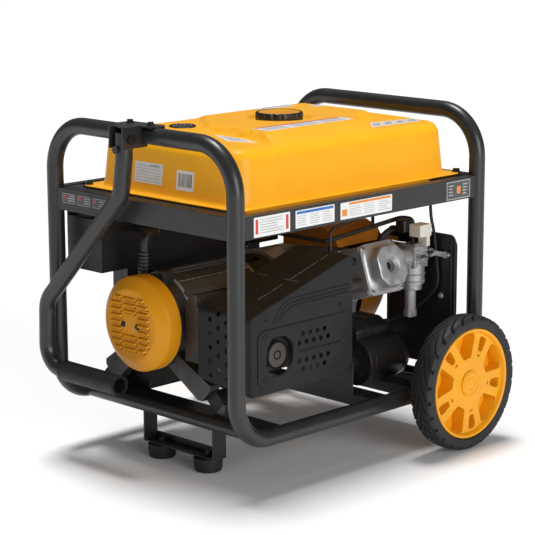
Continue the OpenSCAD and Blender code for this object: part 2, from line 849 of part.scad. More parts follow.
module crankcase() {
    color(silver) placed() difference() {
        union() {
            wall_x(case_x[0], case_x[1]) polygon([[crank_y - 88, case_z0 + 6],
                [crank_y - 78, case_z0], [crank_y + 78, case_z0], [crank_y + 90, case_z0 + 12],
                [crank_y + 90, crank_z + 30], [crank_y + 60, crank_z + 78],
                [crank_y - 30, crank_z + 92], [crank_y - 88, crank_z + 76]]);
            block(case_x[0] + 12, case_x[1] - 12, crank_y - 98, crank_y + 98, 150, case_z0 + 4);
            rod_x(case_x[0] + 4, case_x[1] - 0.5, crank_y, crank_z, 96);
        }
        rod_x(case_x[0] + 14, case_x[1] - 14, crank_y, crank_z, 56);
        block(case_x[0] + 14, case_x[1] - 14, crank_y - 52, crank_y + 52, case_z0 + 10,
            crank_z);
        rod_x(case_x[0] - 1, case_x[1] + 1, crank_y, crank_z, shaft_d / 2 + fit_gap);
        tilted() cylinder(h = 130, r = bore_cyl_r);
        tilted() translate([-62, -62, deck - 0.1]) cube([124, 124, 60]);
        for (s = [-1, 1], x = mount_x) rod_z(x, crank_y + s * mount_dy, 140, case_z0 + 10, 5.2);
        rod_z(stick_x, stick_y, case_z0 + 10, crank_z + 90, stick_r + fit_gap);
    }
}

fin_count = 9;
fin_pitch = 8.5;

// Finned cylinder and head along the tilted axis
module cylinder_head() {
    color(silver) placed() tilted() difference() {
        union() {
            translate([0, 0, deck]) cylinder(h = head_d[0] - deck, r = cyl_r);
            for (i = [0 : fin_count - 1]) translate([-52, -50, deck + 12 + i * fin_pitch])
                cube([104, 100, 3.2]);
            translate([-50, -47, head_d[0] - 4]) cube([100, 94, head_d[1] - head_d[0] + 4]);
            for (x = [-44, 44], y = [-41, 41]) translate([x, y, head_d[0] - 14])
                cylinder(h = head_d[1] - head_d[0] + 14, r = 8);
        }
        translate([0, 0, deck - 1]) cylinder(h = head_d[0] - deck - 8, r = bore_cyl_r);
        translate([0, 0, head_d[1] - 12]) cylinder(h = 20, r = 30);
    }
}

cover_across = 92;
cover_h = 34;

// Eight-sided rocker cover with a round recess and its centre bolt
module valve_cover() {
    a = cover_across / 2;
    c = 22;
    color(silver) placed() tilted() translate([0, 0, head_d[1] + 0.2]) difference() {
        union() {
            translate([-a - 4, -a - 3, 0]) cube([2 * a + 8, 2 * a + 6, 5]);
            linear_extrude(cover_h) polygon([[-a, -a + c], [-a + c, -a], [a - c, -a],
                [a, -a + c], [a, a - c], [a - c, a], [-a + c, a], [-a, a - c]]);
        }
        translate([0, 0, -1]) linear_extrude(cover_h - 4) polygon([[-a + 3, -a + c],
            [-a + c, -a + 3], [a - c, -a + 3], [a - 3, -a + c], [a - 3, a - c],
            [a - c, a - 3], [-a + c, a - 3], [-a + 3, a - c]]);
        translate([0, 0, cover_h - 2]) difference() {
            cylinder(h = 4, r = 20);
            translate([0, 0, -1]) cylinder(h = 6, r = 7);
        }
    }
}

plug_y = 24;
plug_d = 209;
lead_r = 3.5;

// Spark plug, its boot and the ignition lead to the coil under the fan housing
module spark_plug() {
    y = crank_y - plug_d * cos(cylinder_tilt) + plug_y * sin(cylinder_tilt);
    z = crank_z + plug_d * sin(cylinder_tilt) + plug_y * cos(cylinder_tilt);
    x = cyl_x - 50.2;
    color(plastic_black) placed() {
        rod_x(x - 12, x, y, z, 7);
        rod_x(x - 50, x - 11, y, z, 10);
        bent_rod([[x - 49, y, z], [x - 68, y, z], [x - 68, y, 434], [232, -60, 434],
            [232, -60, crank_z + blower_r + 0.4]], 14, lead_r);
    }
}

blower_x = [214.4, 272];
blower_r = 108;
duct_out = 150;

// Fan housing between the crankcase and the recoil starter, open at the cylinder side
module blower_housing() {
    color(yellow) placed() difference() {
        union() {
            rod_x(blower_x[0], blower_x[1], crank_y, crank_z, blower_r);
            block(blower_x[0], blower_x[1], crank_y - duct_out, crank_y, crank_z + 40,
                crank_z + blower_r);
        }
        rod_x(blower_x[0] - 1, blower_x[1] - 4, crank_y, crank_z, blower_r - 3);
        block(blower_x[0] - 1, blower_x[1] - 4, crank_y - duct_out + 3, crank_y, crank_z + 43,
            crank_z + blower_r - 3);
        rod_x(blower_x[0], blower_x[1] + 1, crank_y, crank_z, 70);
    }
}

// Sheet shroud that carries the fan's air over the cylinder
module cylinder_shroud() {
    color(yellow) placed() difference() {
        wall_x(84, 214) polygon([[-104, 386], [-88, 410], [-60, 421], [10, 417], [46, 392],
            [46, 373]]);
        wall_x(87, 215) polygon([[-101, 384], [-86, 407], [-59.5, 418], [9, 414], [43, 390],
            [43, 360], [-20, 350]]);
    }
}

recoil_x = [272.3, 308];
recoil_rim_x = recoil_x[1] - 10;
pull_y = crank_y - 57;
pull_z = crank_z + 57;
rope_r = 3;
pull_bar_r = 9;

module recoil_cover() {
    color(plastic_black) placed() difference() {
        union() {
            rod_x(recoil_x[0], recoil_rim_x, crank_y, crank_z, 92);
            rod_x(recoil_x[0], recoil_x[1], crank_y, crank_z, 70);
        }
        rod_x(recoil_x[0] - 1, recoil_rim_x - 3, crank_y, crank_z, 88);
        rod_x(recoil_x[0] - 1, recoil_x[1] - 3, crank_y, crank_z, 66);
        rod_x(recoil_rim_x - 4, recoil_rim_x + 1, pull_y, pull_z, rope_r + 1);
        for (a = [0 : 30 : 330]) translate([0, crank_y, crank_z]) rotate([a, 0, 0])
            block(recoil_x[1] - 5, recoil_x[1] + 1, -5, 5, 30, 60);
    }
}

// Pull grip on a short stub of its rope
module recoil_grip() {
    color(plastic_black) placed() {
        x = recoil_x[1] + 1 + pull_bar_r;
        rod_x(recoil_rim_x - 8, recoil_rim_x + 2, pull_y, pull_z, rope_r);
        rod_x(recoil_rim_x + 0.4, x, pull_y, pull_z, 8);
        rod_y(x, pull_y - 38, pull_y + 38, pull_z, pull_bar_r);
    }
}

starter_y = -150;
starter_z = 166;

starter_r = 46;
starter_x = [78, 196];
starter_box_y = [-146, -66];
starter_box_z = [196, 238];

// Starter motor with its drive nose, the solenoid in its case, and the flange to the crankcase
module starter_motor() {
    color(plastic_black) placed() {
        rod_x(starter_x[0], starter_x[0] + 8, starter_y, starter_z, starter_r);
        rod_x(starter_x[0] + 7, starter_x[1], starter_y, starter_z, starter_r - 3);
        rod_x(starter_x[1] - 1, starter_x[1] + 8, starter_y, starter_z, 24);
        wall_x(starter_x[0] + 14, starter_x[1] - 8) polygon([
            [starter_box_y[0], starter_box_z[0]], [starter_box_y[1], starter_box_z[0]],
            [starter_box_y[1], starter_box_z[1]], [starter_box_y[0] + 26, starter_box_z[1]],
            [starter_box_y[0], starter_box_z[1] - 14]]);
        block(96, 124, starter_y + 30, crank_y - 98.4, starter_z - 12, starter_z + 26);
    }
}

// ---------- exhaust ----------
shield_x = [-265, 4];
shield_y = [-216, -78];
shield_z0 = 174;
shield_zl = 322;
shield_zr = 404;
shield_t = 1.5;
muffler_y = -144;
muffler_r = 56;
muffler_z = 250;
pipe_y = -148;
pipe_z = [262, 318];
pipe_r = 13;
outlet_x = -195;
outlet_z = 243;
outlet_r = 27;
vent_pitch = 19.2;

module shield_outline(e) {
    polygon([[shield_x[0] + e, shield_z0 - 2 * e], [shield_x[1] - 26, shield_z0 - 2 * e],
        [shield_x[1] - e, shield_z0 + 18], [shield_x[1] - e, shield_zr - 1.3 * e],
        [shield_x[0] + e, shield_zl - 1.3 * e]]);
}

// Pressed steel guard around the muffler, open underneath and towards the engine
module heat_shield() {
    color(dark_steel) placed() difference() {
        wall_y(shield_y[0], shield_y[1]) shield_outline(0);
        wall_y(shield_y[0] + shield_t, shield_y[1] + 1) shield_outline(shield_t);
        rod_y(outlet_x, shield_y[0] - 1, shield_y[0] + 4, outlet_z, outlet_r + 10);
        for (k = [0, 1], i = [0 : 3 + k], s = [-1, 1])
            rod_y(-133 + (i - k / 2) * vent_pitch, shield_y[0] - 1, shield_y[0] + 4,
                240 + s * (33 - k * 16), 4.6);
        for (r = [0 : 4], k = [0 : 4])
            rod_x(shield_x[0] - 1, shield_x[0] + 4, -194 + r * 21, 200 + k * 26
                + (r % 2) * 13, 4.8);
        rod_x(shield_x[1] - 4, shield_x[1] + 1, pipe_y, pipe_z[0], pipe_r + 5);
    }
}

module muffler() {
    color(dark_steel) placed() {
        rod_x(-240, -24, muffler_y, muffler_z, muffler_r);
        rod_y(outlet_x, shield_y[0] + 3, muffler_y, outlet_z, outlet_r);
        bent_rod([[-25, pipe_y, pipe_z[0]], [52, pipe_y, pipe_z[0]], [52, pipe_y, pipe_z[1]],
            [cyl_x - 50.3, pipe_y, pipe_z[1]]], 20, pipe_r);
    }
}

guard_x = shield_x[1] + gap;

// Upright guard plate on its foot beside the shield, and a plate beside the alternator
module baffle_plates() {
    color(frame_black) placed() {
        block(guard_x, guard_x + 2, shield_y[0], -104, channel_top, shield_z0 + 18);
        block(guard_x, channel_b[0] + 20, -200, -150, channel_top, channel_top + 2);
        wall_x(-258, -255) {
            translate([-77, 212]) square([42, 106]);
            translate([-69, 310]) square([26, 30]);
        }
    }
}

// ---------- fuel and air ----------
carb_x = 250;
carb_y = -150;
carb_z = 352;
throat_r = 13;

module carburetor() {
    color(silver) placed() difference() {
        union() {
            rod_x(cyl_x + 50.3, 280, carb_y, carb_z, 18);
            block(carb_x - 20, carb_x + 20, carb_y - 22, carb_y + 22, carb_z - 20, carb_z + 24);
            rod_z(carb_x, carb_y, carb_z - 54, carb_z - 13, 24);
            rod_z(carb_x, carb_y, carb_z - 66, carb_z - 53, 19);
            rod_z(carb_x - 12, carb_y - 6, carb_z - 106, carb_z - 65, 11);
            rod_z(carb_x - 12, carb_y - 6, carb_z - 118, carb_z - 105, 13);
        }
        rod_x(cyl_x + 40, 290, carb_y, carb_z, throat_r);
    }
}

choke_x = 274;
choke_y = -178;
choke_z = 360;
choke_pin_r = 3;

module choke_lever() {
    color(dark_steel) placed() difference() {
        union() {
            block(choke_x - 1.5, choke_x + 1.5, choke_y - 38, choke_y, choke_z - 5, choke_z + 5);
            rod_x(choke_x - 1.5, choke_x + 1.5, choke_y, choke_z, 9);
            rod_x(choke_x - 3.5, choke_x + 3.5, choke_y - 38, choke_z, 7);
        }
        rod_x(choke_x - 10, choke_x + 10, choke_y, choke_z, choke_pin_r + fit_gap);
    }
}

cleaner_x = [284, 304];
cleaner_y = [-228, -52];
cleaner_z = [214, 398];
cleaner_plate_z = 130;

// Flat air cleaner case and its long back plate on the carburetor's elbow, with the choke's
// pivot pin
module air_cleaner() {
    color(plastic_black) placed() {
        wall_x(cleaner_x[0] + 2, cleaner_x[0] + 6) round_rect(cleaner_y[0], cleaner_y[1],
            cleaner_plate_z, cleaner_z[1], 14);
        wall_x(cleaner_x[0] + 6, cleaner_x[1]) round_rect(cleaner_y[0] + 8, cleaner_y[1] - 40,
            cleaner_z[0] + 8, cleaner_z[1] - 8, 18);
        rod_x(280.3, cleaner_x[0] + 2, carb_y, carb_z, 20);
        rod_x(choke_x - 8, cleaner_x[0] + 2, choke_y, choke_z, choke_pin_r);
        rod_x(choke_x + 2, choke_x + 6, choke_y, choke_z, 8);
    }
}

valve_x = 30;
valve_y = 90;
valve_z = 440;

// Fuel tap under the tank
module fuel_valve() {
    color([0.75, 0.6, 0.3]) placed() {
        rod_z(valve_x, valve_y, valve_z, belly_bottom, 8);
        rod_y(valve_x, valve_y - 12, valve_y + 12, valve_z, 9);
        rod_z(valve_x, valve_y, valve_z - 18, valve_z, 4);
        rod_y(valve_x, valve_y + 12, valve_y + 21, valve_z, 3);
    }
}

module fuel_valve_lever() {
    color(plastic_black) placed() difference() {
        union() {
            rod_y(valve_x, valve_y + 12.5, valve_y + 19, valve_z, 9);
            block(valve_x, valve_x + 34, valve_y + 14, valve_y + 19, valve_z - 5, valve_z + 5);
        }
        rod_y(valve_x, valve_y + 10, valve_y + 24, valve_z, 3 + fit_gap);
    }
}

// Fuel hose from the tap to the carburetor and breather hose from the rocker cover
module fuel_hose() {
    z = valve_z - 18.2;
    color(rubber_black) placed() {
        bent_rod([[valve_x, valve_y, z], [valve_x, valve_y, z - 14], [valve_x, -120, z - 14],
            [carb_x, -120, 426], [carb_x, carb_y, 426], [carb_x, carb_y, carb_z + 24.2]],
            10, 4.5);
    }
}

module dipstick() {
    color(plastic_black) placed() {
        rod_z(stick_x, stick_y, case_z0 + 20, crank_z + 86, stick_r);
        rod_z(stick_x, stick_y, crank_z + 80, crank_z + 92, 13);
    }
}

relay_x = 229;
relay_y = -187;
relay_z = 396;

// Small relay on a bracket above the carburetor
module relay_box() {
    color([0.8, 0.78, 0.72]) placed() {
        block(relay_x, relay_x + 34, relay_y, relay_y + 28, relay_z, relay_z + 24);
        block(250, 260, relay_y + 1, -164, carb_z + 24, relay_z);
    }
}

// ---------- controls ----------
ctrl_x = [-300, 176];
ctrl_y = [150, 246];
ctrl_z = [356, 458];
ctrl_t = 2.5;
ctrl_low_x = -188;
ctrl_low_y = 204;
ctrl_low_z = 292;
panel_y = ctrl_y[1] + 3;
panel_mid = 410;
cover_w = 60;
cover_z = [364, 450];
cover_t = 2.4;
cover_hinge_z = 455;
cover_hinge_y = panel_y + 9;
hinge_pin_r = 2;
outlet_xs = [-30, -112];

module rocker_cut(x, z, w, h) {
    block(x - w / 2, x + w / 2, ctrl_y[1] - 4, panel_y + 1, z - h / 2, z + h / 2);
}

switch_x = 146;
switch_z = 432;
start_z = 384;
breaker_x = 36;
breaker_z = [430, 386];
meter_x = 92;

// Control box with its face plate
module control_box() {
    color(plastic_black) placed() difference() {
        union() {
            block(ctrl_x[0], ctrl_x[1], ctrl_y[0], ctrl_y[1], ctrl_z[0], ctrl_z[1]);
            block(ctrl_x[0], ctrl_x[1], ctrl_y[1] - 0.5, panel_y, ctrl_z[0] - 6,
                band_bottom - 0.3);
            block(ctrl_low_x, ctrl_x[1], ctrl_low_y, panel_y, ctrl_low_z, ctrl_z[0] + 1);
        }
        block(ctrl_low_x + ctrl_t, ctrl_x[1] - ctrl_t, ctrl_low_y + ctrl_t, ctrl_y[1],
            ctrl_low_z + ctrl_t, ctrl_z[0] + 0.5);
        block(ctrl_x[0] + ctrl_t, ctrl_x[1] - ctrl_t, ctrl_y[0] + ctrl_t, ctrl_y[1],
            ctrl_z[0] + ctrl_t, ctrl_z[1] - ctrl_t);
        rocker_cut(switch_x, switch_z, 24, 32);
        rod_y(switch_x, ctrl_y[1] - 4, panel_y + 1, start_z, 10 + fit_gap);
        for (z = breaker_z) rod_y(breaker_x, ctrl_y[1] - 4, panel_y + 1, z, 7 + fit_gap);
    }
}

// Frame of a covered outlet with its hinge pin
module outlet_frame(x) {
    block(x - cover_w / 2, x + cover_w / 2, panel_y, panel_y + 3, cover_z[0], cover_z[1]);
    for (s = [-1, 1]) block(x + s * 27 - 3, x + s * 27 + 3, panel_y, cover_hinge_y + 4,
        cover_hinge_z - 4, cover_hinge_z + 4);
    rod_x(x - 27, x + 27, cover_hinge_y, cover_hinge_z, hinge_pin_r);
    for (z = [388, 426]) rod_y(x, panel_y + 3, panel_y + 4.5, z, 15);
}

// Outlets, meter, breaker collars, low voltage socket and the earth terminal
module panel_fittings() {
    color(dark_steel) placed() {
        for (x = outlet_xs) outlet_frame(x);
        rod_y(meter_x, panel_y, panel_y + 7, panel_mid, 28);
        rod_y(-190, panel_y, panel_y + 10, panel_mid, 27);
        rod_y(-252, panel_y, panel_y + 8, 428, 17);
        rod_y(-252, panel_y, panel_y + 14, 380, 5);
        rod_y(-252, panel_y + 7, panel_y + 11, 380, 10);
        for (z = breaker_z) difference() {
            rod_y(breaker_x, panel_y, panel_y + 4, z, 12);
            rod_y(breaker_x, panel_y - 1, panel_y + 5, z, 7 + fit_gap);
        }
        difference() {
            rod_y(switch_x, panel_y, panel_y + 4, start_z, 15);
            rod_y(switch_x, panel_y - 1, panel_y + 5, start_z, 10 + fit_gap);
        }
    }
}

// Flip-up cover of an outlet, hanging from a hinge along its top edge
module outlet_cover(x) {
    difference() {
        union() {
            block(x - cover_w / 2, x + cover_w / 2, cover_hinge_y - cover_t, cover_hinge_y,
                cover_z[0], cover_hinge_z - 6);
            block(x - 22, x + 22, cover_hinge_y - cover_t, cover_hinge_y, cover_hinge_z - 8,
                cover_hinge_z);
            rod_x(x - 22, x + 22, cover_hinge_y, cover_hinge_z, 4.2);
        }
        rod_x(x - 40, x + 40, cover_hinge_y, cover_hinge_z, hinge_pin_r + fit_gap);
    }
}

module outlet_cover_a() {
    color(plastic_black) placed() outlet_cover(outlet_xs[0]);
}

module outlet_cover_b() {
    color(plastic_black) placed() outlet_cover(outlet_xs[1]);
}

// Push-to-reset breaker button
module breaker(z) {
    rod_y(breaker_x, ctrl_y[1] - 3, panel_y + 9, z, 7);
}

module breaker_a() {
    color(plastic_black) placed() breaker(breaker_z[0]);
}

module breaker_b() {
    color(plastic_black) placed() breaker(breaker_z[1]);
}

module start_button() {
    color([0.15, 0.45, 0.2]) placed() rod_y(switch_x, ctrl_y[1] - 3, panel_y + 9, start_z, 10);
}

// Engine on/off rocker, pivoting about its own middle
module engine_switch() {
    color([0.7, 0.1, 0.08]) placed() intersection() {
        rod_x(switch_x - 11.5, switch_x + 11.5, panel_y - 4, switch_z, 14);
        block(switch_x - 12, switch_x + 12, panel_y - 2, panel_y + 8, switch_z - 20,
            switch_z + 20);
    }
}

conduit_x = -250;
conduit_y = 82;
conduit_z = 436;
conduit_r = 9;
cable_x = 236;
cable_y = 190;
cable_z = 152;
cable_end_y = -104;

// Alternator conduit with its bellows, and the battery cable to the starter
module wiring_conduit() {
    color(rubber_black) placed() {
        bent_rod([[conduit_x, conduit_y, 358.8], [conduit_x, conduit_y, conduit_z],
            [conduit_x + 36, conduit_y, conduit_z], [conduit_x + 36, ctrl_y[0] - 0.2, conduit_z]],
            17, conduit_r);
        for (i = [0 : 5]) rod_z(conduit_x, conduit_y, 361 + i * 7, 365 + i * 7, 13);
        bent_rod([[shelf_x[1] - 3.7, cable_y, 196], [-50, cable_y, 196],
            [-50, cable_y, cable_z], [cable_x, cable_y, cable_z], [cable_x, cable_end_y, cable_z],
            [cable_x, cable_end_y, starter_box_z[1] - 20],
            [starter_x[1] - 7.6, cable_end_y, starter_box_z[1] - 20]], 12, lead_r);
    }
}

module battery() {
    color(plastic_black) placed() {
        block(shelf_x[0] + 2, shelf_x[1] - 4, shelf_y[0] + 2, shelf_y[1] - 2, channel_top,
            channel_top + 92);
        for (x = [shelf_x[0] + 16, shelf_x[1] - 18])
            rod_z(x, shelf_y[0] + 16, channel_top + 92, channel_top + 102, 8);
    }
}

// Rubber engine and alternator mounts, and the pads under the tank's flange
module rubber_mounts() {
    color(rubber_black) placed() {
        for (s = [-1, 1], x = mount_x) difference() {
            rod_z(x, crank_y + s * mount_dy, channel_top, 150, 17);
            rod_z(x, crank_y + s * mount_dy, channel_top - 1, 151, 5.2);
        }
        for (y = [mount_near_y, mount_far_y])
            translate([(channel_a[0] + channel_a[1]) / 2, y, mount_z]) rotate([45, 0, 0])
                cube([2 * mount_half + 4, 2 * mount_half, 2 * mount_half], center = true);
        for (b = bolt_spots) difference() {
            rod_z(b[0], b[1], band_top, flange_z, 11);
            rod_z(b[0], b[1], band_top - 1, flange_z + 1, bolt_hole_r);
        }
    }
}

bar_bolt_y = [-29, 27];

module fasteners() {
    color(plastic_black) placed() {
        for (b = bolt_spots) translate([b[0], b[1], flange_z + flange_t]) {
            bolt_head(8);
            translate([0, 0, -16]) cylinder(h = 16.5, r = 4);
        }
        for (y = bar_bolt_y) translate([-half_l, y, bracket_top + 3]) bolt_head(7);
        for (s = [-1, 1]) translate([foot_x, s * foot_pitch / 2, foot_h + foot_plate_t])
            bolt_head(8);
        for (s = [-1, 1]) {
            rod_x(cover_x - 2, cover_x, crank_y + s * 20, crank_z, 5.5);
            rod_x(cover_x - 0.5, cover_x + 6, crank_y + s * 20, crank_z, 3);
        }
    }
}

hoop_handle_end();
hoop_wheel_end();
side_rails();
cross_members();
tank_band();
foot_bracket();
rubber_feet();
axle();
tyre_left();
rim_left();
tyre_right();
rim_right();
handle_tube();
handle_grip();
handle_bracket();
handle_pivot_pin();
handle_lock_button();
tank_upper();
tank_lower();
fasteners();
fuel_cap();
fuel_cap_stem();
fuel_gauge();
alternator_cover();
alternator_bells();
stator();
crankshaft();
flywheel();
crankcase();
cylinder_head();
valve_cover();
spark_plug();
blower_housing();
cylinder_shroud();
recoil_cover();
recoil_grip();
starter_motor();
muffler();
heat_shield();
baffle_plates();
carburetor();
choke_lever();
air_cleaner();
fuel_valve();
fuel_valve_lever();
fuel_hose();
dipstick();
relay_box();
control_box();
panel_fittings();
outlet_cover_a();
outlet_cover_b();
breaker_a();
breaker_b();
start_button();
engine_switch();
wiring_conduit();
battery();
rubber_mounts();
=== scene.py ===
"""Looks of the portable generator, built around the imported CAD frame. Lengths are millimetres
in the design's own frame (x from the middle of the frame) until P() turns them into metres."""
import math
import random

import bmesh
import bpy
from mathutils import Matrix, Vector


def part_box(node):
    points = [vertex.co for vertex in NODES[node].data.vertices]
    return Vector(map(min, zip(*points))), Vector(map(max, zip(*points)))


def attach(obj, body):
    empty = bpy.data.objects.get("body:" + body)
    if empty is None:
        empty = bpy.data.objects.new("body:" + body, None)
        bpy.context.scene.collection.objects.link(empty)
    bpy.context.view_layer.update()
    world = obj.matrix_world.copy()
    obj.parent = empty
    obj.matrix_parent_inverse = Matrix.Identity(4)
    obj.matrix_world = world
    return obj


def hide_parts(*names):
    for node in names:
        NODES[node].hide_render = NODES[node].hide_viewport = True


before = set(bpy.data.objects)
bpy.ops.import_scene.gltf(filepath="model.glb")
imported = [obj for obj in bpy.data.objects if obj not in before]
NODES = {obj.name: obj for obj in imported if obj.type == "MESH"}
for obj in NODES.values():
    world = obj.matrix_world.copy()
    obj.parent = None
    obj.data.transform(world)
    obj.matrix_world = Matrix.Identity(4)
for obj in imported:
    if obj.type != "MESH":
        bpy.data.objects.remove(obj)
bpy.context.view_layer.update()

TAU = math.tau

# Middle of the frame along X, in millimetres
handle_end, wheel_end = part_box("hoop_handle_end"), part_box("hoop_wheel_end")
SHIFT = (handle_end[0].x + wheel_end[1].x) / 2 * 1000


def P(x, y, z):
    """A point of the design in millimetres, in metres of the frame."""
    return Vector(((x + SHIFT) / 1000, y / 1000, z / 1000))


def lerp(a, b, t):
    return a + (b - a) * t


def clamp(t, lo=0.0, hi=1.0):
    return max(lo, min(hi, t))


def smooth(t):
    t = clamp(t)
    return t * t * (3 - 2 * t)


# ---------------------------------------------------------------- materials
def new_mat(name):
    m = bpy.data.materials.new(name)
    m.use_nodes = True
    nt = m.node_tree
    nt.nodes.clear()
    out = nt.nodes.new("ShaderNodeOutputMaterial")
    bsdf = nt.nodes.new("ShaderNodeBsdfPrincipled")
    nt.links.new(bsdf.outputs[0], out.inputs[0])
    return m, nt, bsdf


def coords(nt):
    return nt.nodes.new("ShaderNodeTexCoord").outputs["Object"]


def noise(nt, vec, scale, detail=3.0, rough=0.5, stretch=None):
    if stretch is not None:
        mp = nt.nodes.new("ShaderNodeMapping")
        mp.inputs["Scale"].default_value = stretch
        nt.links.new(vec, mp.inputs["Vector"])
        vec = mp.outputs[0]
    n = nt.nodes.new("ShaderNodeTexNoise")
    n.inputs["Scale"].default_value = scale
    n.inputs["Detail"].default_value = detail
    n.inputs["Roughness"].default_value = rough
    nt.links.new(vec, n.inputs["Vector"])
    return n.outputs["Fac"]


def remap(nt, fac, lo, hi, a=0.3, b=0.7):
    r = nt.nodes.new("ShaderNodeMapRange")
    r.inputs["From Min"].default_value = a
    r.inputs["From Max"].default_value = b
    r.inputs["To Min"].default_value = lo
    r.inputs["To Max"].default_value = hi
    nt.links.new(fac, r.inputs["Value"])
    return r.outputs[0]


def mix_colour(nt, fac, a, b):
    m = nt.nodes.new("ShaderNodeMix")
    m.data_type = "RGBA"
    nt.links.new(fac, m.inputs["Factor"])
    for socket, value in ((m.inputs["A"], a), (m.inputs["B"], b)):
        if isinstance(value, bpy.types.NodeSocket):
            nt.links.new(value, socket)
        else:
            socket.default_value = (*value, 1)
    return m.outputs["Result"]


def bump(nt, height, strength, distance, normal=None):
    b = nt.nodes.new("ShaderNodeBump")
    b.inputs["Strength"].default_value = strength
    b.inputs["Distance"].default_value = distance
    nt.links.new(height, b.inputs["Height"])
    if normal is not None:
        nt.links.new(normal, b.inputs["Normal"])
    return b.outputs[0]


def surface(name, dark, light, rough, metal=0.0, grain=900, grain_h=0.00004, grain_s=0.4,
            blotch=14, rough_var=0.06, coat=0.0, coat_rough=0.1, spec=0.5, stretch=None,
            dust=None, dust_amount=0.25, wave=None):
    """General painted, moulded or cast surface: two-tone blotches, grain and a roughness map.

    grain is the scale of the fine bump, grain_h its depth in metres and grain_s its strength;
    wave holds the same three for a broad unevenness, and dust is a third colour in specks."""
    m, nt, bs = new_mat(name)
    v = coords(nt)
    broad = noise(nt, v, blotch, 4, 0.6)
    col = mix_colour(nt, remap(nt, broad, 0, 1), dark, light)
    if dust is not None:
        specks = noise(nt, v, 60, 6, 0.75)
        col = mix_colour(nt, remap(nt, specks, 0, dust_amount, 0.5, 0.8), col, dust)
    nt.links.new(col, bs.inputs["Base Color"])
    fine = noise(nt, v, grain, 2, 0.5, stretch)
    patch = noise(nt, v, blotch * 4, 3, 0.6)
    nt.links.new(remap(nt, patch, rough - rough_var, rough + rough_var), bs.inputs["Roughness"])
    normal = bump(nt, fine, grain_s, grain_h)
    if wave:
        scale, strength, height = wave
        normal = bump(nt, noise(nt, v, scale, 2, 0.5), strength, height, normal)
    nt.links.new(normal, bs.inputs["Normal"])
    bs.inputs["Metallic"].default_value = metal
    bs.inputs["Coat Weight"].default_value = coat
    bs.inputs["Coat Roughness"].default_value = coat_rough
    bs.inputs["Specular IOR Level"].default_value = spec
    return m


def printed(name, dark, light, rough):
    return surface(name, dark, light, rough, grain=900, grain_h=0.00002, grain_s=0.2)


